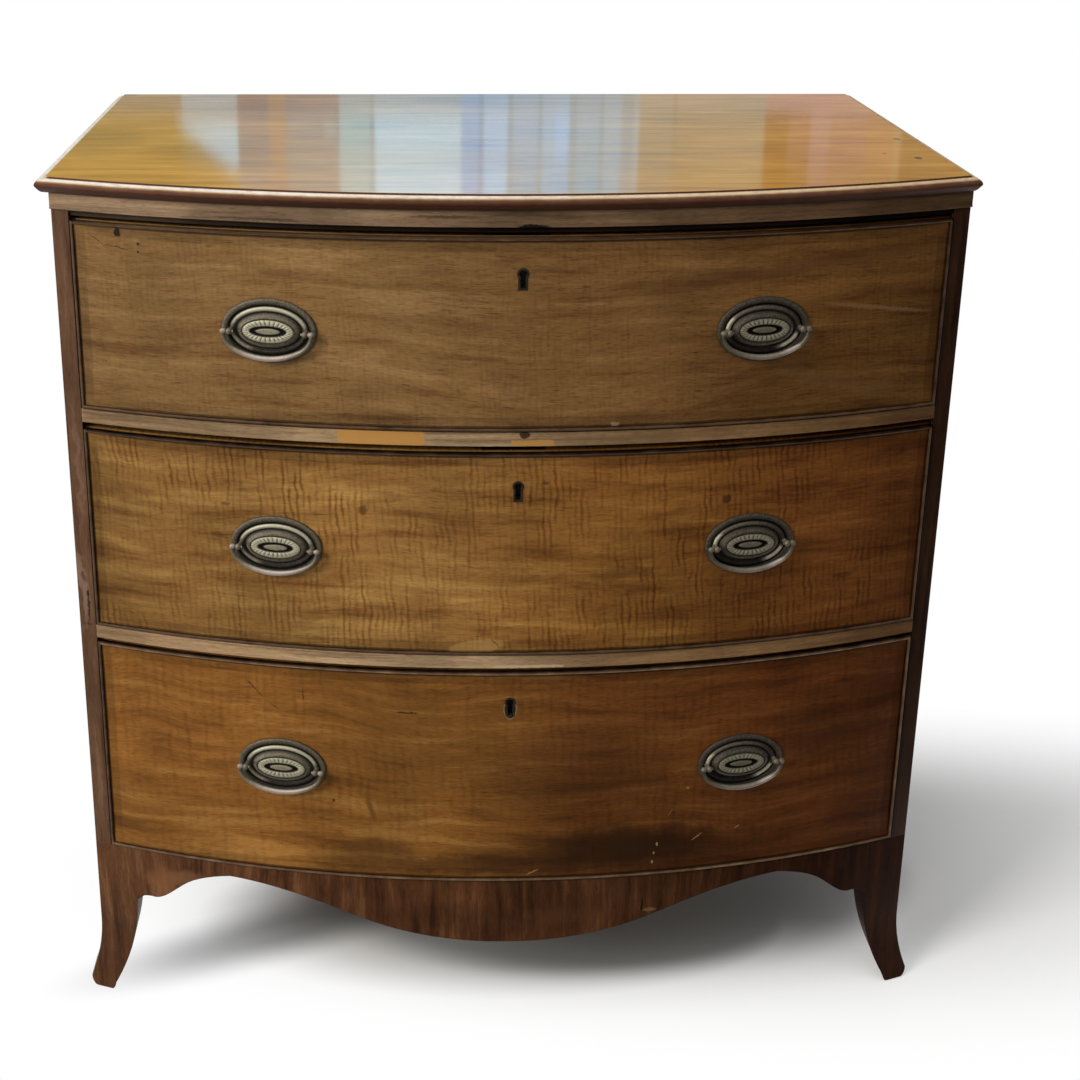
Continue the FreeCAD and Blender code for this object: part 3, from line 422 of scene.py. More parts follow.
# pieces laid over the columns: four corners as x and z, then the light
CURTAIN = [
    ([(-0.63, 1.268), (-0.485, 1.268), (-0.485, 1.385), (-0.50, 1.385)], (0.42, 1.00, 1.34)),
    ([(-0.17, 1.298), (0.018, 1.298), (0.022, 1.335), (-0.168, 1.335)], (0.62, 1.34, 1.85)),
    ([(-0.29, 1.285), (-0.262, 1.285), (-0.262, 1.298), (-0.29, 1.298)], (0.35, 0.85, 1.10)),
    ([(-0.37, 1.258), (-0.262, 1.258), (-0.262, 1.28), (-0.36, 1.28)], (0.24, 0.50, 0.70))]


def screen_piece(name, corners, light):
    """One lit four-sided piece of the screen."""
    paint = bpy.data.materials.new(name + "_light")
    emptied(paint)
    lit_sheet(name, corners, paint, (*light, 1.0), 1.0)


def pane(left, right, low, high, layer):
    """The corners of a rectangle, so many layers in front of the screen."""
    depth = SCREEN_Y - LAYER * layer
    return quad((left, depth, low), (right, depth, high))


levels = [(FLOOR_EDGE, SILL), (SILL, HEAD), (HEAD, CEILING_EDGE)]
left = SCREEN_LEFT
for number, (right, *lights) in enumerate(COLUMNS):
    for row, (light, (low, high)) in enumerate(zip(lights, levels)):
        screen_piece(f"column_{number}_{row}", pane(left, right, low, high, 0), light)
    left = right
for number, (*edges, light) in enumerate(BARS):
    screen_piece(f"window_bar_{number}", pane(*edges, BAR_LAYERS), light)
for number, (corners, light) in enumerate(CURTAIN):
    depth = SCREEN_Y - LAYER * (number + 2)
    screen_piece(f"curtain_{number}", [(x, depth, z) for x, z in corners], light)
print("screen stands", SCREEN_Y, "m behind the middle, with", len(COLUMNS), "columns")

# %% [markdown]
# ## Mahogany
#
# The whole show surface is mahogany, cut in thin sheets or in the solid, stained by two centuries
# of wax and sun. Seen close it is four patterns laid over each other: broad clouds of colour where
# the light has bleached it, long streaks that follow the growth of the tree, fine dark pores drawn
# out along the grain, and, in a good sheet, ripples that cross the grain where its fibres wave.
# Each is a noise stretched by a different amount, so a handful of numbers in millimetres describes
# any board. The grain itself sways a little, so the coordinates are bent before they are stretched.

# %% Marks of use, with painted shade and highlights
# a mark has no depth of its own: it goes right through its board
THROUGH = 1e4
# marks with a ragged edge wander by a noise: its scale, and its reach in mm
WANDER = ((260, 2.0), (45, 14.0))


def mark(tree, base, grounds, x, z, half_x, half_z, tone, strength, soft, edge=0, turn=0, block=False,
         blend="MIX"):
    """Paints one mark over a colour: a disc, or a block with round corners, that a Mapping node puts
    at its centre, turns and scales. Inside it the base is mixed with, or multiplied by, the mark's
    tone, by strength. grounds are the points as they are and as they wander, and edge picks one.

    The mask is 1 - smoothstep(soft, 1, d), where d = sum of (x/half_x)^p and (z/half_z)^p, with p = 2
    for a disc and p = 8 for a block."""
    local = add(tree, "Mapping", {
        "Vector": grounds[edge], "Location": (x * MM, 0, z * MM), "Rotation": (0, -math.radians(turn), 0),
        "Scale": (half_x * MM, THROUGH, half_z * MM)}, vector_type="TEXTURE")
    power = local
    for _ in range(3 if block else 1):
        power = add(tree, "VectorMath", {0: power, 1: power}, operation="MULTIPLY")
    reach = add(tree, "VectorMath", {0: power, 1: (1, 1, 1)}, operation="DOT_PRODUCT")
    mask = remap(tree, reach.outputs["Value"], soft, 1.0, strength, 0.0, "SMOOTHSTEP")
    return over(tree, base, colour(tone), mask, blend)


def marked(tree, wood, place, marks):
    """Lays all marks over the wood."""
    grounds = [place]
    for scale, reach in WANDER:
        wander = noise(tree, place, scale, 3.0)
        moved = add(tree, "VectorMath", {0: wander.outputs["Color"], 1: (reach * 2 * MM, 0, reach * 2 * MM),
                                         2: place}, operation="MULTIPLY_ADD")
        grounds.append(add(tree, "VectorMath", {0: moved, 1: (reach * MM, 0, reach * MM)},
                           operation="SUBTRACT"))
    for row in marks:
        wood = mark(tree, wood, grounds, *row)
    return wood


# %% Mahogany as one function
# half the length of a front, in mm, from which the tones along it are read
HALF = 440
SOFT_EDGE = 1.2 * MM
FIBRE_DEPTH = 0.4 * MM
GRAIN_TURNS = {
    "X": (0, 0, 0),  # along a board that stands on its edge
    "Z": (0, math.pi / 2, 0),  # upright in the front
    "Y": (0, 0, math.pi / 2),  # from front to back
    "side": (math.pi / 2, 0, math.pi / 2),  # upright in a side
    "flat": (math.pi / 2, 0, 0)}  # along a board that lies flat


def rippled(tree, wood, run, bent, amount, wide):
    """Ripples wide mm apart across the grain, in patches: wandering bands, broken into short dashes."""
    across = add(tree, "Mapping", {"Vector": bent, "Rotation": (0, math.radians(3), 0)})
    bands = add(tree, "TexWave", {
        "Vector": across, "Scale": math.pi / (10 * wide * MM), "Distortion": 7.0, "Detail": 3.0,
        "Detail Scale": 0.5, "Detail Roughness": 0.65}, bands_direction="X")
    dashes = remap(tree, drawn_out(tree, bent, (95, 20, 26), 3.0, 0.6), 0.40, 0.62)
    patches = remap(tree, noise(tree, run, 7.0, 3.0), 0.36, 0.56, 0.35, 1.0)
    both = add(tree, "Math", {0: patches, 1: dashes}, operation="MULTIPLY")
    share = add(tree, "Math", {0: both, 1: amount}, operation="MULTIPLY")
    shade = ramp(tree, bands, [(0.0, [0.58, 0.48, 0.38, 1]), (0.6, [0.97, 0.96, 0.95, 1]),
                               (0.9, [1.10, 1.09, 1.06, 1])])
    return over(tree, wood, shade, share)


def faded_and_shaded(tree, wood, place, tones):
    """Paler at one end and darker at the other: partly sun fading, partly painted shade away from the light
    on the left. Tones are pairs of x in mm and a colour.
    """
    split = add(tree, "SeparateXYZ", {0: place})
    span = remap(tree, split.outputs["X"], -HALF * MM, HALF * MM)
    return over(tree, wood, ramp(tree, span, [((x / HALF + 1) / 2, tone) for x, tone in tones]))


def edged(tree, wood, place, fibre_shade, stops, rub):
    """An edge coloured by the piece's bright attribute, where it is above 0: a ramp over it, varied
    unevenly by a noise of strength rub. The attribute carries wear as well as painted highlight and shade."""
    bright = add(tree, "Attribute", attribute_name="bright").outputs["Fac"]
    rubbed = add(tree, "Math", {0: noise(tree, place, 60.0, 4.0), 1: rub, 2: -rub / 2},
                 operation="MULTIPLY_ADD")
    wear_and_painted_light = add(tree, "Math", {0: rubbed, 1: bright}, operation="ADD", use_clamp=True)
    shade = over(tree, ramp(tree, wear_and_painted_light, stops), fibre_shade, 0.8)
    return over(tree, wood, shade, remap(tree, bright, 0.001, 0.01), "MIX")


def mahogany(name, dark, mid, pale, along="X", streak=8.0, sway=14.0, ripple=0.0, ripple_wide=7.0,
             pores=0.35, cloud=0.35, fibre=0.8, marks=(), rough=0.42, gloss=0.22, edge=None,
             shift=(0, 0, 0), fade_and_shade=None, dents=0.25, flat=False):
    """Mahogany with its grain along one axis. Streaks are streak mm wide, the grain sways by sway mm,
    ripples are ripple_wide mm apart, and marks are laid over it, by x and z, or by x and y if flat."""
    material, tree, shader, place = blank_material(name)
    run = add(tree, "Mapping", {"Vector": place, "Location": shift, "Rotation": GRAIN_TURNS[along]})

    # the grain sways: a slow noise moves each point across the grain
    slow = noise(tree, run, 3.2, 2.0, 0.45)
    bent = add(tree, "VectorMath", {0: slow.outputs["Color"], 1: (0, 0, 4 * sway * MM), 2: run},
               operation="MULTIPLY_ADD")

    # streaks, streak mm wide and about a seventh of a metre long
    streaks = drawn_out(tree, bent, (7, 6, 1000 / streak / 2), 7.0, 0.66, 0.25)
    wood = ramp(tree, streaks, [(0.33, dark), (0.5, mid), (0.66, pale)])

    # clouds of colour, about 150 mm across
    clouds = noise(tree, bent, 6.5, 4.0, 0.55)
    wood = over(tree, wood, ramp(tree, clouds, [(0.36, [1 - cloud] * 3 + [1]), (0.62, [1, 1, 1, 1])]))

    # fibres, drawn 1.5 mm wide and 8 mm long so that they show
    fibres = drawn_out(tree, bent, (120, 60, 640), 4.0, 0.7)
    fibre_shade = ramp(tree, fibres, [(0.32, [0.74, 0.71, 0.68, 1]), (0.5, [1, 1, 1, 1]),
                                      (0.68, [1.16, 1.15, 1.13, 1])])
    wood = over(tree, wood, fibre_shade, fibre)

    # pores: real ones are 0.2 mm wide, drawn 0.8 mm wide and 15 mm long so that they show
    pits = drawn_out(tree, bent, (70, 60, 1150), 1.0)
    wood = over(tree, wood, colour("#6a523c"), remap(tree, pits, 0.38, 0.28, 0.0, pores))

    if ripple:
        wood = rippled(tree, wood, run, bent, ripple, ripple_wide)
    if fade_and_shade:
        wood = faded_and_shaded(tree, wood, place, fade_and_shade)
    if edge:
        wood = edged(tree, wood, place, fibre_shade, *edge)
    if flat:
        place = add(tree, "Mapping", {"Vector": place, "Rotation": (math.pi / 2, 0, 0)}).outputs[0]
    if marks:
        wood = marked(tree, wood, place, marks)

    dulled = remap(tree, clouds, 0.3, 0.7, rough * 0.85, rough * 1.15)
    soft_edge = add(tree, "Bevel", {"Radius": SOFT_EDGE}, samples=4)
    bumps = add(tree, "Bump", {"Height": fibres, "Strength": dents, "Distance": FIBRE_DEPTH,
                               "Normal": soft_edge})
    feed(tree, shader, {"Base Color": wood, "Specular IOR Level": gloss, "Roughness": dulled,
                        "Normal": bumps})
    return material


print("grain turns", GRAIN_TURNS)

# %% [markdown]
# ## Where each board got its colour
#
# The same tree gives very different boards. The upper drawer is greyish and quiet, the middle one golden
# and rippled, the lower one plain with long curving grain. All three are paler on the left and darker on
# the right: partly the sun has faded the left, where a window stood, and partly that is painted shade,
# since the light falls from the left. The upright strips at the sides have their grain upright, the bowed
# dividers have theirs lengthwise, and so on.

# %% Finishes of the show wood
# how far each darker strip lies from the edge and half its width, in mm, and how strong it is
BESIDE_BEADS = ((4.6, 1.0, 0.55), (9.0, 6.0, 0.26))


def darker_beside_beads(low, high):
    """Darkens a front along its beads: four thin blocks, and four wide faint ones."""
    rows = []
    for inset, thick, strength in BESIDE_BEADS:
        places = [(0, z, FRONT_HALF - BEAD_WIDE, thick) for z in (low + inset, high - inset)]
        places += [(x, (low + high) / 2, thick, (high - low) / 2 - BEAD_WIDE)
                   for x in (-FRONT_HALF + inset, FRONT_HALF - inset)]
        rows += [(*place, "#4a3520", strength, 0.1, 0, 0, True, "MULTIPLY") for place in places]
    return rows


finish = {}
# paler on the left and darker on the right: sun fading and painted shade
FADE_AND_SHADE = [(-440, "#ffffff"), (440, "#9c8a78")]
# Each mark: its middle and half sizes in mm, its tone, strength and softness, and, where they aren't
# 0, which ragged edge it has, its turn in degrees, and whether it is a block.
upper_marks = darker_beside_beads(*DRAWERS["upper"]) + [
    (-412, 884, 12, 0.7, "#3a2614", 0.8, 0.2, 1, -35),
    (-388, 877, 17, 0.7, "#3a2614", 0.8, 0.2, 1, -10),
    (-389.5, 892.5, 4, 6, "#1f130a", 0.95, 0.4, 1),
    (-368.7, 882, 2, 2, "#22150b", 0.9, 0.3),
    (-369.1, 874, 1.6, 1.6, "#22150b", 0.9, 0.3),
    (260, 862, 190, 9, "#5a3a20", 0.45, 0.1, 2, 6),
    (364, 816, 74, 3.0, "#8a6a48", 0.5, 0.0, 1, -9),
    (330, 742, 90, 12, "#6e5232", 0.35, 0.0, 2, -14),
    (99, 711, 5, 3, "#a58a68", 0.55, 0.3, 1)]
middle_marks = darker_beside_beads(*DRAWERS["middle"]) + [
    (-301, 581, 9, 4, "#4a2f16", 0.6, 0.1, 1),
    (-151, 618, 6, 7, "#3c2612", 0.65, 0.1, 1),
    (-291, 616, 6, 2, "#4a2f16", 0.6, 0.1, 1),
    (218, 624, 7, 6, "#331d0d", 0.75, 0.1, 1, 30),
    (32, 650, 5, 3, "#3c2612", 0.6, 0.1, 1),
    (350, 525, 16, 4, "#3a1d0c", 0.55, 0.1, 1),
    (406, 658, 3, 4, "#2c190b", 0.6, 0.1, 1),
    (113, 548, 45, 12, "#4a2a12", 0.5, 0.0, 2),
    (-205, 532, 75, 2, "#6e3a16", 0.6, 0.0, 1),
    (-160, 560, 90, 30, "#7a4e22", 0.25, 0.0, 2),
    (-36, 468, 32, 9, "#b58c50", 0.5, 0.6, 1, 8),
    (-16, 473, 1.0, 9, "#5a3c1c", 0.7, 0.2, 1, 40)]
lower_marks = darker_beside_beads(*DRAWERS["lower"]) + [
    (-268, 408, 17, 0.8, "#33200f", 0.85, 0.2, 1, -48),
    (-248, 389, 12, 0.7, "#33200f", 0.7, 0.2, 1, -33),
    (-216.5, 403, 0.9, 7, "#33200f", 0.8, 0.2, 1),
    (-108, 390, 15, 1.4, "#2c1a0c", 0.85, 0.2, 1),
    (-186, 280, 2, 3, "#2c1a0c", 0.85, 0.2),
    (-146, 272, 4, 22, "#4a2c14", 0.55, 0.0, 1, 20),
    # painted highlight: a pale ring on the rim of the lower keyhole, with a dark disc inside that leaves it
    # thin
    (0.5, 396, 7.5, 13, "#8a7658", 0.8, 0.75),
    (0.5, 396, 6.3, 11.6, "#1c120a", 0.9, 0.75),
    # painted shade: these four darken the bottom of the lower front, where little light comes up from the
    # floor
    (-150, 224, 60, 16, "#38200f", 0.5, 0.0, 2),
    (-60, 206, 190, 16, "#38200f", 0.5, 0.0, 2),
    (130, 226, 120, 32, "#26150a", 0.75, 0.0, 2),
    (130, 212, 230, 34, "#2c180b", 0.45, 0.0, 2),
    (70, 330, 120, 60, "#4a2c14", 0.35, 0.0, 2),
    (330, 340, 60, 50, "#2c180a", 0.35, 0.0, 2),
    (28, 197, 9, 1.2, "#a07a4c", 0.7, 0.2, 1, 25),
    (207, 229, 9, 1.0, "#9a7850", 0.8, 0.2, 1, 35),
    (176, 262, 0.9, 6, "#8a6840", 0.6, 0.2, 0, -30),
    (252, 236, 4, 1.2, "#9a7850", 0.7, 0.2, 0, 30),
    (194, 291, 2.2, 2, "#9a7850", 0.7, 0.3),
    (163, 224, 1.4, 3, "#a58862", 0.8, 0.3),
    (160, 213, 1.2, 2, "#a58862", 0.8, 0.3),
    (158.6, 202, 1.4, 2.4, "#a58862", 0.8, 0.3)]
top_marks = [
    (434, -12, 5, 6, "#2c190b", 0.85, 0.2, 1),
    (427, -120, 5, 7, "#2c190b", 0.8, 0.2, 1),
    (398, -95, 3, 5, "#4a2c12", 0.6, 0.2, 1),
    (-455, 297, 16, 6, "#5a3a1c", 0.6, 0.2, 1),
    (-300, 190, 150, 60, "#a87634", 0.4, 0.0, 2),
    (-440, -20, 60, 120, "#8a6024", 0.35, 0.0, 2)]
band_marks = [
    # painted shadow: a near-black strip along the low edge of the band, in the middle
    (15, 911.5, 19, 2.6, "#100a06", 0.95, 0.3, 1),
    (-75, 921, 40, 2.0, "#3a2a1c", 0.6, 0.1, 1),
    (-250, 914, 60, 1.4, "#3a2a1c", 0.5, 0.1, 1)]
blade_marks = [
    (-132, 696.5, 44, 8, "#c08a44", 0.9, 0.7, 1, 0, True),
    (18, 691.5, 22, 4, "#bb8846", 0.85, 0.6, 1, 0, True),
    (10, 701, 6, 4.5, "#2e1c10", 0.9, 0.5, 1),
    (150, 695, 130, 5, "#7a5e42", 0.5, 0.0, 2),
    (18, 445.6, 38, 1.5, "#c8ac88", 0.8, 0.4, 1, 0, True),
    (-250, 456, 120, 1.6, "#6a5038", 0.5, 0.1, 1)]
stile_marks = [
    (-446.5, 484, 1.3, 27, "#1c120b", 0.85, 0.3, 1),
    (-449, 458, 6, 1.2, "#1c120b", 0.7, 0.3, 1),
    (-452, 500, 5, 60, "#9a8070", 0.45, 0.0, 2),
    (-450, 640, 4, 90, "#8a6a58", 0.35, 0.0, 2)]
base_marks = [
    (149.5, 148, 1.4, 10, "#140b06", 0.9, 0.3, 1),
    (158, 141, 9, 2.6, "#8a6846", 0.5, 0.3, 1),
    (-60, 140, 90, 22, "#2c190f", 0.3, 0.0, 2),
    (70, 140, 70, 14, "#5a3a28", 0.3, 0.0, 2),
    (-20, 120, 60, 12, "#1e110a", 0.2, 0.0, 2),
    (-380, 150, 22, 26, "#8a5c3c", 0.6, 0.0, 2),
    (-352, 160, 26, 14, "#94684a", 0.4, 0.0, 2)]
finish["upper_front"] = mahogany(
    "mahogany_upper_front", "#74512d", "#89673d", "#9a764a", streak=7, sway=12, ripple=0.3, ripple_wide=6,
    cloud=0.2, fibre=1.0, pores=0.5, shift=(0.3, 0, 0.2), marks=upper_marks,
    fade_and_shade=[(-440, "#f2f2f2"), (-150, "#ffffff"), (110, "#ece1d2"), (330, "#d8c39e"), (440, "#c0aa88")])
finish["middle_front"] = mahogany(
    "mahogany_middle_front", "#83582a", "#a1743c", "#b98d4d", streak=8, sway=8, ripple=1.0, ripple_wide=6.5,
    cloud=0.25, fibre=1.0, shift=(1.7, 0, 3.1), marks=middle_marks,
    fade_and_shade=[(-440, "#d8d8da"), (-330, "#dfdfe0"), (-110, "#ffffff"), (110, "#e6d6bc"), (330, "#bc9c7c"),
            (440, "#a88868")])
finish["lower_front"] = mahogany(
    "mahogany_lower_front", "#845525", "#a0692e", "#b68040", streak=8, sway=22, ripple=0.4, ripple_wide=10,
    cloud=0.3, fibre=1.0, shift=(4.2, 0, 1.3), marks=lower_marks,
    fade_and_shade=[(-440, "#f8f8f8"), (-330, "#ffffff"), (-110, "#e8eae4"), (110, "#b4a498"), (330, "#a88e7d"),
            (440, "#947a6c")])
# the colours of the top's moulding and of the beads, over their shine: painted shade at the dark end, and
# at the pale end a painted highlight on the moulding, with wear and painted highlight on the beads' noses
MOULDING_HIGHLIGHT_AND_SHADE = [(0.0, "#1c120c"), (0.12, "#4a3220"), (0.30, "#4c2c1e"), (0.42, "#553424"),
                 (0.58, "#785c44"), (0.74, "#b0926a"), (0.84, "#c0ab8e"), (1.0, "#cec9c4")]
BEAD_WEAR_AND_SHADE_TONES = [(0.0, "#0e0906"), (0.2, "#2b1c11"), (0.55, "#5c4430"), (1.0, "#a08a6e")]
finish["top"] = mahogany(
    "polished_mahogany_top", "#ab7730", "#be8939", "#cc9a46", along="flat", streak=7, sway=4, cloud=0.14,
    pores=0.0, fibre=0.14, rough=0.07, gloss=0.5, shift=(2.2, 0, 0.4), dents=0.03, flat=True,
    marks=top_marks)
finish["top_edge"] = mahogany(
    "mahogany_moulding_painted_highlight", "#967038", "#ae8748", "#c09d60", streak=7, sway=4, pores=0.0, fibre=0.35,
    rough=0.45, gloss=0.2, edge=(MOULDING_HIGHLIGHT_AND_SHADE, 0.15), dents=0.05)
finish["stile"] = mahogany(
    "mahogany_stile", "#4c3322", "#664833", "#775841", along="Z", streak=5, sway=3, cloud=0.25,
    shift=(0, 0, 1.1), fade_and_shade=FADE_AND_SHADE, rough=0.36, gloss=0.25, marks=stile_marks)
finish["band"] = mahogany(
    "mahogany_frieze_band", "#73604b", "#977d62", "#ad9374", streak=4, sway=3, cloud=0.3,
    shift=(0.5, 0, 2.0), fade_and_shade=[(-440, "#f4f0ee"), (440, "#b09e8a")], rough=0.36, gloss=0.25,
    marks=band_marks)
finish["rail"] = mahogany(
    "mahogany_top_rail", "#30241c", "#42332a", "#4e3d32", streak=4, sway=3, shift=(0.5, 0, 2.0),
    fade_and_shade=[(-440, "#ffffff"), (-100, "#8a7c74"), (440, "#8a7c70")], rough=0.5, gloss=0.1)
finish["blade"] = mahogany(
    "mahogany_blades", "#927859", "#b89872", "#d0b088", streak=3, sway=3, cloud=0.35, shift=(0.5, 0, 2.0),
    fade_and_shade=[(-440, "#eae4e0"), (-100, "#ffffff"), (200, "#d2c2ac"), (440, "#a48e78")], rough=0.4,
    gloss=0.25, marks=blade_marks)
finish["base"] = mahogany(
    "mahogany_base", "#452a1c", "#634029", "#7d563a", along="Z", streak=6, sway=10, cloud=0.45, gloss=0.08,
    shift=(0.2, 0, 0.9), fade_and_shade=[(-440, "#ffffff"), (0, "#f2e8dc"), (440, "#846c56")], marks=base_marks)
finish["side"] = mahogany(
    "mahogany_case_side", "#4e3018", "#6a4424", "#7c5532", along="side", streak=12, sway=12, cloud=0.3,
    shift=(0.9, 0, 0.3))
finish["base_side"] = mahogany(
    "mahogany_base_side", "#45281a", "#5c3924", "#704a30", along="side", streak=6, sway=10, cloud=0.45,
    gloss=0.1, shift=(0.2, 0, 0.9), fade_and_shade=FADE_AND_SHADE)
finish["bead"] = mahogany(
    "mahogany_bead", "#4f3a28", "#6b5038", "#84684a", streak=2.5, sway=2, cloud=0.45, shift=(0.1, 0, 0.1),
    fade_and_shade=FADE_AND_SHADE, edge=(BEAD_WEAR_AND_SHADE_TONES, 0.6), rough=0.36, gloss=0.25)
print("show finishes:", len(finish))

# %% [markdown]
# ## Oak and pine
#
# Inside, where nobody looks, the maker used cheaper wood: oak for the drawer linings, which is pale
# brown with fine straight lines, and pine for what is hidden, which is yellower with wide soft
# bands. The same function draws both, because all boards are streaks, fibres and pores.

# %% Finishes of the hidden wood
finish["oak"] = mahogany("oak_drawer_lining", "#8a6a44", "#a5875c", "#b99c70", along="Y", streak=4, sway=4,
                         pores=0.5, cloud=0.15, rough=0.6, gloss=0.15)
for kind, name, along in (("oak_across", "oak_drawer_back", "X"), ("oak_flat", "oak_bottom_board", "flat")):
    finish[kind] = mahogany(name, "#866540", "#a08058", "#b4966b", along=along, streak=6, sway=5, pores=0.5,
                            cloud=0.15, rough=0.6, gloss=0.15)
finish["pine"] = mahogany("pine_carcass", "#94703f", "#b08d58", "#c2a26e", streak=16, sway=10, pores=0.1,
                          cloud=0.2, rough=0.65, gloss=0.15)
finish["pine_back"] = mahogany("pine_back_boards", "#7c5c36", "#987548", "#aa885a", streak=18, sway=12,
                               pores=0.1, cloud=0.25, rough=0.7, gloss=0.12)


# %% [markdown]
# ## Old brass
#
# The handles are thin stamped and cast brass that nobody has polished for years. Their hollows are olive
# brown with dirt and wax, and what a hand or a cloth touches shines a pale gold. Each handle piece carries
# an attribute called bright, from 0 in a hollow to 1 on a ridge, which mixes the two. The same attribute
# also carries painted light: highlights on the ridges and bails where a window on the left would be
# mirrored, and painted shade that makes the right handles duller.

# %% Finishes of the metal
PIT_DEPTH = 0.2 * MM


def old_brass(name, lift=0.0, wear_and_painted_light="#dcdabc"):
    """Tarnished brass: a ramp from black dirt over olive tarnish to pale gold, which is rubbed metal and
    painted highlight, read with the bright attribute, a fine noise and a lift."""
    material, tree, shader, place = blank_material(name)
    bright = add(tree, "Attribute", attribute_name="bright")
    specks = noise(tree, place, 520.0, 4.0, 0.6)
    amount = add(tree, "Math", {0: specks, 1: 0.5, 2: bright.outputs["Fac"]}, operation="MULTIPLY_ADD")
    mask = remap(tree, amount, 0.25 - lift, 1.25 - lift)
    tone = ramp(tree, mask, [(0.0, "#15110d"), (0.3, "#4b443c"), (0.6, "#857c68"), (1.0, wear_and_painted_light)])
    pits = add(tree, "Bump", {"Height": specks, "Strength": 0.15, "Distance": PIT_DEPTH})
    rough = remap(tree, mask, 0.0, 1.0, 0.42, 0.24)
    feed(tree, shader, {"Base Color": tone, "Metallic": 0.55, "Roughness": rough, "Normal": pits})
    return material


finish["brass"] = old_brass("tarnished_brass_stamping")
finish["post_brass"] = old_brass("tarnished_brass_post", lift=0.62)
finish["bail_brass"] = old_brass("tarnished_brass_casting", wear_and_painted_light="#d2c5b8")
finish["dark_brass"] = old_brass("tarnished_brass_lock", lift=0.2)


def dull_steel(name):
    """Wrought steel of a lock bolt: dark, with a fine drawn grain."""
    material, tree, shader, place = blank_material(name)
    lines = drawn_out(tree, place, (900, 900, 60), 3.0)
    feed(tree, shader, {"Base Color": ramp(tree, lines, [(0.3, "#55524c"), (0.7, "#8a867d")]),
                        "Metallic": 1.0, "Roughness": 0.42})
    return material


finish["steel"] = dull_steel("drawn_steel_bolt")
print("all finishes:", sorted(finish))

# %% [markdown]
# ## From grids of points to a piece
#
# A surface here is always a grid of points, one row per step of one parameter and one column per
# step of the other. This cell turns such grids into one closed mesh: neighbouring points make
# four-sided faces, points that fall together are merged, and the faces are turned outwards.

# %% Grids to meshes
def grid_faces(rows, columns, start, around):
    """The faces between the rows and columns of a grid, and back to the first column if around."""
    row, column = np.meshgrid(np.arange(rows - 1), np.arange(columns if around else columns - 1),
                              indexing="ij")
    after = (column + 1) % columns
    low = start + row * columns
    high = low + columns
    return np.stack([low + column, low + after, high + after, high + column], axis=-1).reshape(-1, 4)


# points closer than this are one point, and an edge shorter than this is none, in metres
MERGE = 1e-6
NO_LENGTH = 1e-7


def build(name, grids, body, material, replaced, sharp):
    """Makes one piece from grids: each is an array of points (rows, columns, 3), whether its columns
    close on themselves, and how bright each point is. Edges over sharp degrees stay sharp."""
    points = []
    faces = []
    shine = []
    count = 0
    for grid, around, bright in grids:
        rows, columns = grid.shape[:2]
        points.append(grid.reshape(-1, 3))
        faces.append(grid_faces(rows, columns, count, around))
        shine.append(np.broadcast_to(bright, (rows, columns)).reshape(-1))
        count += rows * columns
    mesh = bpy.data.meshes.new(name)
    mesh.from_pydata(np.concatenate(points).tolist(), [], np.concatenate(faces).tolist())
    layer = mesh.attributes.new("bright", "FLOAT", "POINT")
    layer.data.foreach_set("value", np.concatenate(shine).astype(np.float32))
    work = bmesh.new()
    work.from_mesh(mesh)
    bmesh.ops.remove_doubles(work, verts=work.verts, dist=MERGE)
    bmesh.ops.dissolve_degenerate(work, edges=work.edges, dist=NO_LENGTH)
    bmesh.ops.holes_fill(work, edges=[e for e in work.edges if e.is_boundary], sides=0)
    bmesh.ops.recalc_face_normals(work, faces=work.faces)
    open_edges = sum(not e.is_manifold for e in work.edges)
    work.to_mesh(mesh)
    work.free()
    mesh.shade_smooth()
    mesh.set_sharp_from_angle(angle=math.radians(sharp))
    mesh.materials.append(material)
    obj = bpy.data.objects.new(name, mesh)
    scene.collection.objects.link(obj)
    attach(obj, body)
    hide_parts(replaced)
    print(name, len(mesh.polygons), "faces,", open_edges, "open edges")
    return obj


# %% [markdown]
# ## The top
#
# The top is one wide board, 15 mm thick. Its front and its ends are worked with a thumb moulding: a fine
# step down, then a round nose, and a slanting face that leads back under. The moulding is one profile
# carried along the two ends and the bow, with a mitre where they meet, and the flat middle is a grid with
# the same edge points, so the two join without a seam. The polish is on the flat only: every face that
# turns away from straight up gets the finish of the moulding, whose colour is painted with a pale highlight
# along the nose, strongest on the left, and with shade under it and in the step.

# %% Top board
TOP_UNDER = 928 * MM
TOP_THICK = 15 * MM
TOP_HALF = 468 * MM
TOP_SHIFT = -3.5 * MM
TOP_PROUD = 11 * MM
BACK_Y = 302 * MM
END_STEPS = 40
FRONT_STEPS = 180


def top_outline(inset):
    """The edge of the top, moved in by inset: back to front on the left, along the bow, and back.

    The ends are straight at x = TOP_SHIFT +- (TOP_HALF - inset), and the front is the bow moved in
    by inset."""
    half = TOP_HALF - inset
    front_x = TOP_SHIFT + np.linspace(-half, half, FRONT_STEPS + 1)
    front_y = bow_y(front_x, TOP_PROUD - inset)
    share = np.linspace(1, 0, END_STEPS + 1)
    left_y, right_y = (corner + (BACK_Y - corner) * share for corner in (front_y[0], front_y[-1]))
    x = np.concatenate([np.full(END_STEPS, front_x[0]), front_x, np.full(END_STEPS, front_x[-1])])
    y = np.concatenate([left_y[:-1], front_y, right_y[::-1][1:]])
    return np.stack([x, y], axis=-1)


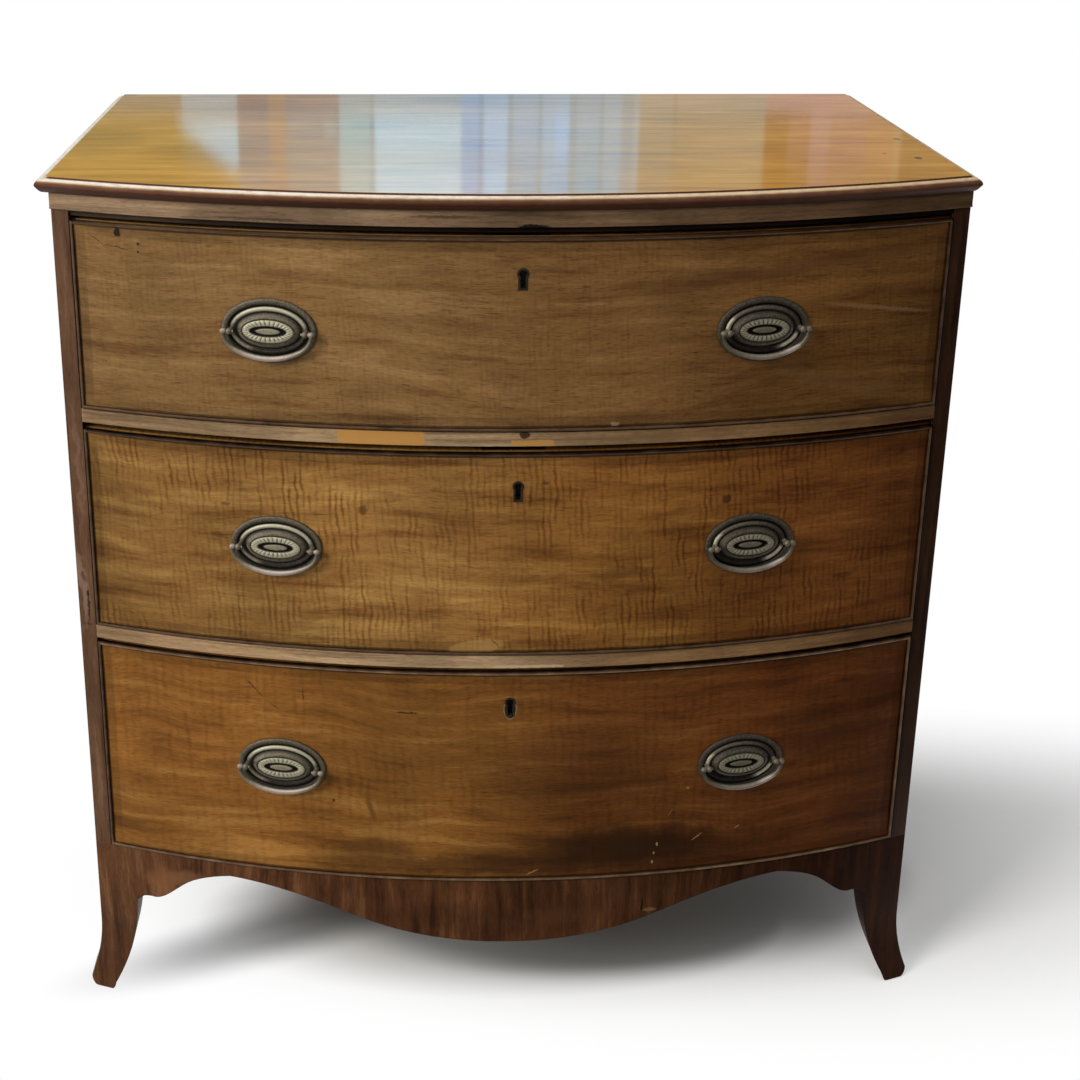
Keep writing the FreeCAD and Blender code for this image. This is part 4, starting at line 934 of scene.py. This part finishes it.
def top_field(inset, height):
    """The flat middle: x runs from end to end, and y from the bow to the back."""
    half = TOP_HALF - inset
    x = TOP_SHIFT + np.linspace(-half, half, FRONT_STEPS + 1)[None, :]
    share = np.linspace(1, 0, END_STEPS + 1)[:, None]
    y = BACK_Y - share * (BACK_Y - bow_y(x, TOP_PROUD - inset))
    return np.stack([x + 0 * y, y, np.full_like(y, height)], axis=-1)


# inset, height and shine, in turn on the under side, the slanting face, the round nose and the step; the
# shine paints shade under the nose and in the step, and a highlight on the nose's upper face
profile = np.array([
    (12.0, 0.0, 0.25), (8.0, 0.0, 0.25), (6.0, 0.1, 0.2), (4.6, 1.1, 0.2), (2.6, 3.4, 0.25),
    (0.9, 5.6, 0.32), (0.2, 6.7, 0.36), (0.0, 7.5, 0.4), (0.25, 8.7, 0.42), (0.9, 9.9, 0.45),
    (1.9, 11.1, 0.58), (2.9, 11.9, 0.84), (4.0, 12.5, 0.95), (5.4, 13.0, 1.0), (7.0, 13.3, 1.0),
    (8.3, 13.45, 0.85), (9.3, 13.5, 0.45), (9.9, 13.65, 0.2), (10.0, 14.3, 0.2), (10.2, 14.75, 0.4),
    (10.7, 15.0, 0.5), (11.6, 15.0, 0.0), (12.5, 15.0, 0.0)])
profile[:, :2] *= MM
rings = np.array([np.column_stack([top_outline(inset), np.full(FRONT_STEPS + 2 * END_STEPS + 1,
                                                               TOP_UNDER + height)])
                  for inset, height, _ in profile])
# painted highlight: a window on the left is painted on the nose, so the shine of its bright rows fades to
# the right
BRIGHT_ROW = 0.5
FADE_ENDS = (-0.1, 0.35)
DIM_SHINE = 0.8
fade = np.interp(rings[0, :, 0], FADE_ENDS, (1.0, DIM_SHINE))[None, :]
moulding_highlight_and_shade = profile[:, 2:] * np.where(profile[:, 2:] > BRIGHT_ROW, fade, 1.0)
# and a painted highlight lies on the fine step at the left end
STEP_LOW = 13.4 * MM
LEFT_END = -456 * MM
LEFT_SHINE = 0.9
step = (profile[:, 1:2] > STEP_LOW) & (profile[:, 2:] > 0)
moulding_highlight_and_shade = np.where(step & (rings[0, :, 0] < LEFT_END)[None, :], LEFT_SHINE, moulding_highlight_and_shade)
top = build("top_board_moulded",
            [(rings, False, moulding_highlight_and_shade), (top_field(profile[0][0], TOP_UNDER), False, 0.3),
             (top_field(profile[-1][0], TOP_UNDER + TOP_THICK), False, 0.0)],
            "case", finish["top"], "top_board", 35)
top.data.materials.append(finish["top_edge"])
FLAT_UP = 0.999
facing = np.empty(len(top.data.polygons) * 3)
top.data.polygons.foreach_get("normal", facing)
on_moulding = (facing.reshape(-1, 3)[:, 2] < FLAT_UP).astype(np.int32)
top.data.polygons.foreach_set("material_index", on_moulding)
print("moulding has", on_moulding.sum(), "of", on_moulding.size, "faces")

# %% [markdown]
# ## Cock beads
#
# A cock bead is a thin strip let into the edge of a drawer front. It stands a little proud and has
# a round nose, which guards the edge of the veneer and hides the gap. Here its section is a half
# round carried round the four edges, with mitres at the corners. The nose has been knocked and
# rubbed for years, so it wanders by a fraction of a millimetre.

# %% Cock beads
BEAD_PROUD = 2.8
BEAD_DEEP = 4.0
LONG_STEPS = 260
SHORT_STEPS = 60
# the knocks on the nose are waves round the front: how many, how high in mm, and where they start
WAVES = (7, 19, 43, 97)
WAVE_HEIGHT = (0.05, 0.1)
WAVE_START = 6.28


def bead_grid(low, high, seed):
    """The bead's surface: its section, from the outer side over the nose to the inner side, along
    the four edges of the front.

    A section point at inset d and proud h lies at x = +-(half - d) or z = edge +- d, and on the bow
    of radius BOW_RADIUS + h."""
    turn = np.linspace(0, math.pi, 9)
    radius = BEAD_WIDE / 2
    nose = np.column_stack([radius - radius * np.cos(turn), BEAD_PROUD - radius + radius * np.sin(turn)])
    section = np.concatenate([[(0, -BEAD_DEEP)], nose, [(BEAD_WIDE, -BEAD_DEEP)]])
    along = np.linspace(0, 1, LONG_STEPS, endpoint=False)
    short = np.linspace(0, 1, SHORT_STEPS, endpoint=False)
    path_u = np.concatenate([along * 2 - 1, np.ones(SHORT_STEPS), 1 - along * 2, -np.ones(SHORT_STEPS)])
    path_v = np.concatenate([np.zeros(LONG_STEPS), short, np.ones(LONG_STEPS), 1 - short])
    inset = section[:, 0][:, None]
    x = path_u[None, :] * (FRONT_HALF - inset)
    z = low + inset + path_v[None, :] * (high - low - 2 * inset)
    phase = np.linspace(0, 2 * math.pi, path_u.size, endpoint=False)[None, :]
    rng = np.random.default_rng(seed)
    wander = sum(rng.uniform(*WAVE_HEIGHT) * np.sin(k * phase + rng.uniform(0, WAVE_START)) for k in WAVES)
    nosed = (section[:, 1] > 0)[:, None]
    proud = section[:, 1][:, None] - nosed * np.maximum(wander, 0.0)
    y = bow_y(x * MM, proud * MM)
    # the nose is paler than the sides: wear and painted highlight on the nose, painted shade on the sides
    # down in the gaps
    bright = np.broadcast_to(np.clip(section[:, 1] / BEAD_PROUD, 0.02, 1)[:, None] ** 1.5, x.shape)
    return np.stack([x * MM, y, z * MM], axis=-1), bright


LEAST_SHINE = 0.003
FIRST_SEED = 11
BEAD_WEAR_AND_SHADE = {
    # how pale the bottom, right, top and left runs are, from wear and painted light, and the outer half of
    # the top run, which a low value leaves in painted shade
    "upper": (0.5, 0.4, 0.6, 0.5, 0.0), "middle": (0.5, 0.5, 0.5, 0.45, 0.1),
    "lower": (0.7, 0.65, 0.8, 0.4, 0.5)}
RUNS = (LONG_STEPS, SHORT_STEPS, LONG_STEPS, SHORT_STEPS)
for number, (drawer, (low, high)) in enumerate(DRAWERS.items()):
    grid, bright = bead_grid(low, high, FIRST_SEED + number)
    wear_and_painted_light = np.tile(np.repeat(BEAD_WEAR_AND_SHADE[drawer][:4], RUNS), (len(grid), 1))
    wear_and_painted_light[:len(grid) // 2, sum(RUNS[:2]):sum(RUNS[:3])] = BEAD_WEAR_AND_SHADE[drawer][4]
    bright = bright * wear_and_painted_light + LEAST_SHINE
    ring = np.concatenate([grid, grid[:1]])
    build(drawer + "_cock_bead_rounded", [(ring, True, np.concatenate([bright, bright[:1]]))],
          "drawer_" + drawer, finish["bead"], drawer + "_cock_beads", 50)

# %% [markdown]
# ## Handle plates
#
# Behind each handle is an oval plate stamped from thin brass sheet. From its edge inwards it has a
# rolled rim, a groove, a bright ridge, a dish, and a dome that carries a ring of petals round a
# short bar. Each of those is an oval with its own two half widths, height and shine, and the plate
# is the smooth surface through them, with the petals pressed in as a wave round the ring.

# %% Handle plates
HANDLES = {
    # height of the pivots, and how far the left and the right handle stand from the middle
    "upper": (803.0, 240.5, 244.0), "middle": (573.75, 239.5, 244.0), "lower": (317.75, 240.5, 250.0)}
PLATE_RINGS = np.array([
    # half width, half height, out from the front, bright
    (47.2, 32.2, -1.6, 0.0), (47.8, 32.8, 0.2, 0.15), (47.6, 32.6, 1.4, 0.4), (46.2, 31.2, 2.3, 0.5),
    (44.4, 29.4, 2.4, 0.48), (42.0, 27.0, 2.0, 0.3), (41.0, 26.0, 1.0, 0.0), (39.8, 24.8, 0.7, 0.0),
    (39.0, 24.0, 1.5, 0.8), (37.6, 22.6, 2.4, 1.0), (36.0, 21.0, 2.3, 1.0), (34.4, 19.6, 1.4, 0.4),
    (33.4, 18.7, 1.0, 0.0), (32.2, 18.0, 1.6, 0.25), (30.6, 16.6, 3.2, 0.45), (28.6, 14.8, 4.6, 0.5),
    (26.9, 13.0, 5.3, 0.4), (26.2, 12.1, 5.2, 0.12), (25.5, 11.4, 5.5, 0.75), (24.2, 10.2, 6.0, 0.95),
    (21.8, 8.0, 6.2, 1.0), (19.4, 6.2, 5.9, 0.9), (17.8, 4.9, 5.0, 0.05), (16.2, 4.3, 4.6, 0.0),
    (13.4, 3.6, 4.6, 0.0), (12.2, 3.1, 5.4, 0.5), (11.2, 2.4, 6.0, 0.75), (6.0, 1.2, 6.1, 0.75),
    (0.0, 0.0, 6.1, 0.75)])
PETALS = 30
RIDGE_PAINTED_LIGHT = {
    # painted highlight and shade: angle round the oval in degrees, and the ridge's shine there, on the left
    # and the right handle
    -1: [(0, 0.4), (20, 0.9), (120, 1.0), (160, 0.8), (180, 0.3), (200, 0.7), (235, 0.7), (250, 0.2),
         (340, 0.15), (360, 0.4)],
    1: [(0, 0.2), (30, 0.4), (90, 0.6), (140, 0.7), (152, 1.3), (185, 1.2), (200, 0.2), (290, 0.15),
        (305, 1.2), (340, 1.2), (350, 0.2), (360, 0.2)]}
# on these bands, given by half height and half depth, lie the ring of petals and the bright ridge
PETAL_BAND = (8.2, 3.4)
PETALS_OUTSIDE = 18
RIDGE_BAND = (22, 2.6)
PETAL_DEPTH = 0.6
PETAL_SHADE = 0.5
# painted shade: the light comes from the left, so the right handle and its bail are painted a little duller
SIDE_PAINTED_SHADE = {-1: 1.0, 1: 0.84}
PLATE_AROUND = 240


def smooth_through(rows, steps):
    """A smooth curve through rows of numbers (Catmull-Rom), sampled steps times per gap."""
    padded = np.concatenate([rows[:1], rows, rows[-1:]])
    t = np.linspace(0, 1, steps, endpoint=False)[None, :, None]
    p0, p1, p2, p3 = (padded[i:len(padded) - 3 + i, None, :] for i in range(4))
    curve = 0.5 * (2 * p1 + (p2 - p0) * t + (2 * p0 - 5 * p1 + 4 * p2 - p3) * t ** 2
                   + (3 * p1 - p0 - 3 * p2 + p3) * t ** 3)
    return np.concatenate([curve.reshape(-1, rows.shape[1]), rows[-1:]])


def seat(points, drawer, sign):
    """Puts points, given as right, out and up from a handle's seat, on the bow: they are turned
    about the upright axis to face squarely out of it."""
    height, left_x, right_x = (v * MM for v in HANDLES[drawer])
    x = sign * (right_x if sign > 0 else left_x)
    turn = math.asin(x / BOW_RADIUS)
    right = np.array([math.cos(turn), math.sin(turn), 0])
    out = np.array([math.sin(turn), -math.cos(turn), 0])
    foot = np.array([x, float(bow_y(x)), height])
    return foot + points[..., 0:1] * right + points[..., 1:2] * out + points[..., 2:3] * np.array([0, 0, 1])


def plate_grid(side):
    """A plate about its own centre: x = a cos(p), z = b sin(p), for each oval of half widths a, b.

    On the ring of petals the height and shine fall between petals, by a cosine wave round the oval, and a
    painted highlight goes round the ridge with RIDGE_PAINTED_LIGHT, while SIDE_PAINTED_SHADE paints the
    right plate duller."""
    rings = smooth_through(PLATE_RINGS, 3)
    p = np.linspace(0, 2 * math.pi, PLATE_AROUND, endpoint=False)[None, :]
    wide, tall, out, bright = (rings[:, i][:, None] for i in range(4))
    on_ring = np.clip(1 - np.abs(tall - PETAL_BAND[0]) / PETAL_BAND[1], 0, 1) * (wide > PETALS_OUTSIDE)
    gap = np.clip(np.cos(PETALS * p), 0, 1)
    height = out - PETAL_DEPTH * gap * on_ring
    on_ridge = np.abs(tall - RIDGE_BAND[0]) < RIDGE_BAND[1]
    ridge_painted_light = np.interp(np.degrees(p), *np.transpose(RIDGE_PAINTED_LIGHT[side]))
    shine = (bright - PETAL_SHADE * gap * on_ring) * np.where(on_ridge, ridge_painted_light, 1.0) * SIDE_PAINTED_SHADE[side]
    shine = np.clip(shine, 0, 1)
    grid = np.stack([wide * np.cos(p), height + 0 * p, tall * np.sin(p)], axis=-1) * MM
    return grid, shine


plates = {sign: plate_grid(sign) for sign in (-1, 1)}
for drawer in HANDLES:
    grids = [(seat(plate, drawer, sign), True, shine) for sign, (plate, shine) in plates.items()]
    build(drawer + "_plates_stamped", grids, "drawer_" + drawer, finish["brass"],
          drawer + "_handle_plates", 60)

# %% [markdown]
# ## Bails
#
# The bail is the swinging loop that the hand pulls. It is cast, thick where the fingers sit and
# thinner towards its ends, and ends in a small turned ball outside each post, with a pin through
# the post's head. Its line is three arcs in a row, a tight one at each end and a long flat one
# below, and its surface is a circle of changing size carried along that line.

# %% Bails
# sizes in mm: how far out the pin is, half the width, the drop, the radius of the end arcs, where
# the pin starts, and the radius of the bail at its ends with what it gains at its lowest point
POST_OUT = 9.5
BAIL_HALF = 44.5
BAIL_DROP = 26.5
BAIL_END = 20.0
PIN_INNER = 34.0
THIN = 2.0
THICKER = 0.9
BAIL_STEPS = 90
BALL_SHINE = 0.8
# the shine at the ends of a bail, and what the middle of its outer side has more: wear where the fingers
# pull, and a painted highlight on the side that faces out
LEAST_BAIL_SHINE = 0.45
BAIL_WEAR_AND_HIGHLIGHT = 0.5
# a painted glint of the window lies at this share of the right bail's length, over this width
GLINT_AT = 0.76
GLINT_WIDE = 0.07
GLINT = 0.5


def bail_line(steps):
    """Points and directions along the bail, in its own plane, from left pivot to right pivot.

    The two end arcs have radius BAIL_END, and the low arc is tangent to both of them."""
    end_x = BAIL_HALF - BAIL_END
    low_radius = (end_x ** 2 + BAIL_DROP ** 2 - BAIL_END ** 2) / (2 * (BAIL_DROP - BAIL_END))
    low_z = low_radius - BAIL_DROP
    lean = math.atan2(end_x, low_z)
    bend = math.pi / 2 - lean
    lengths = np.array([BAIL_END * bend, low_radius * 2 * lean, BAIL_END * bend])
    s = np.linspace(0, lengths.sum(), steps)
    first = np.clip(s / BAIL_END, 0, bend)
    low = np.clip((s - lengths[0]) / low_radius, 0, 2 * lean)
    last = np.clip((s - lengths[:2].sum()) / BAIL_END, 0, bend)
    heading = -math.pi / 2 + first + low + last
    on_first = s <= lengths[0]
    on_last = s > lengths[:2].sum()
    x = np.where(on_first, -end_x - BAIL_END * np.cos(first), low_radius * np.sin(low - lean))
    z = np.where(on_first, -BAIL_END * np.sin(first), low_z - low_radius * np.cos(low - lean))
    x = np.where(on_last, end_x + BAIL_END * np.cos(bend - last), x)
    z = np.where(on_last, -BAIL_END * np.sin(bend - last), z)
    return x, z, heading, s / lengths.sum()


def bail_grid(around=18):
    """The bail's tube: its radius is THIN at the ends, and THICKER is added at its lowest point."""
    x, z, heading, share = bail_line(BAIL_STEPS)
    radius = THIN + THICKER * np.sin(math.pi * share) ** 1.5
    q = np.linspace(0, 2 * math.pi, around, endpoint=False)[None, :]
    side_x = -np.sin(heading)[:, None] * np.cos(q)
    side_z = np.cos(heading)[:, None] * np.cos(q)
    grid = np.stack([x[:, None] + radius[:, None] * side_x, POST_OUT + radius[:, None] * np.sin(q),
                     z[:, None] + radius[:, None] * side_z], axis=-1)
    facing_out = np.clip(np.sin(q) * 0.8 + 0.4, 0, 1)
    bail_shine = LEAST_BAIL_SHINE + BAIL_WEAR_AND_HIGHLIGHT * np.sin(math.pi * share)[:, None] * facing_out
    return grid * MM, bail_shine


def turned_end(sign, around=18):
    """The pin and ball of one end: a profile of distance along and radius, turned round the pin."""
    turned = np.array([(PIN_INNER, 0.0), (PIN_INNER, 1.3), (41.4, 1.3), (41.5, 2.2), (42.2, 2.45),
                       (43.2, 2.75), (44.5, 2.85), (45.7, 2.6), (46.6, 1.9), (47.1, 1.0), (47.3, 0.0)])
    q = np.linspace(0, 2 * math.pi, around, endpoint=False)[None, :]
    along, radius = turned[:, 0][:, None], turned[:, 1][:, None]
    grid = np.stack([sign * (along + 0 * q), POST_OUT + radius * np.cos(q), radius * np.sin(q)], axis=-1)
    return grid * MM


tube, bail_shine = bail_grid()
glint = GLINT * np.exp(-((np.linspace(0, 1, BAIL_STEPS)[:, None] - GLINT_AT) / GLINT_WIDE) ** 2)
for drawer in HANDLES:
    for side, sign in (("left", -1), ("right", 1)):
        bail = f"{drawer}_bail_{side}"
        shine = bail_shine if sign < 0 else bail_shine * SIDE_PAINTED_SHADE[1] + glint
        grids = [(seat(tube, drawer, sign), True, np.clip(shine, 0, 1))]
        for end in (-1, 1):
            grids.append((seat(turned_end(end), drawer, sign), True, BALL_SHINE * SIDE_PAINTED_SHADE[sign]))
        build(bail + "_cast", grids, bail + "_body", finish["bail_brass"], bail, 60)

# %% [markdown]
# ## Dressing the solid pieces
#
# The other pieces keep their solid shape and only need the right finish. Each rule below names the
# end of a piece's name and the finish that belongs to it.

# %% Finishes on the solid pieces
# the finish of each kind of piece, and how the names of those pieces end
RULES = {
    "upper_front": ["upper_drawer_front"], "middle_front": ["middle_drawer_front"],
    "lower_front": ["lower_drawer_front"], "stile": ["stile_facings"], "band": ["frieze_band"],
    "rail": ["top_front_rail"], "blade": ["blade_upper", "blade_lower"],
    "base": ["apron_front", "foot_front_left", "foot_front_right"],
    "base_side": ["side_aprons", "foot_back_left", "foot_back_right"],
    "side": ["case_side_left", "case_side_right"], "oak": ["drawer_side_left", "drawer_side_right"],
    "oak_across": ["drawer_back"], "oak_flat": ["drawer_bottom"], "pine_back": ["back_boards"],
    "dark_brass": ["lock_case", "keyhole_thread"], "post_brass": ["handle_posts"], "steel": ["lock_bolt"]}
for node_name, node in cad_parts.items():
    kind = next((kind for kind, endings in RULES.items() if node_name.endswith(tuple(endings))), "pine")
    node.data.materials.clear()
    node.data.materials.append(finish[kind])
print("dressed", len(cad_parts), "solid pieces")
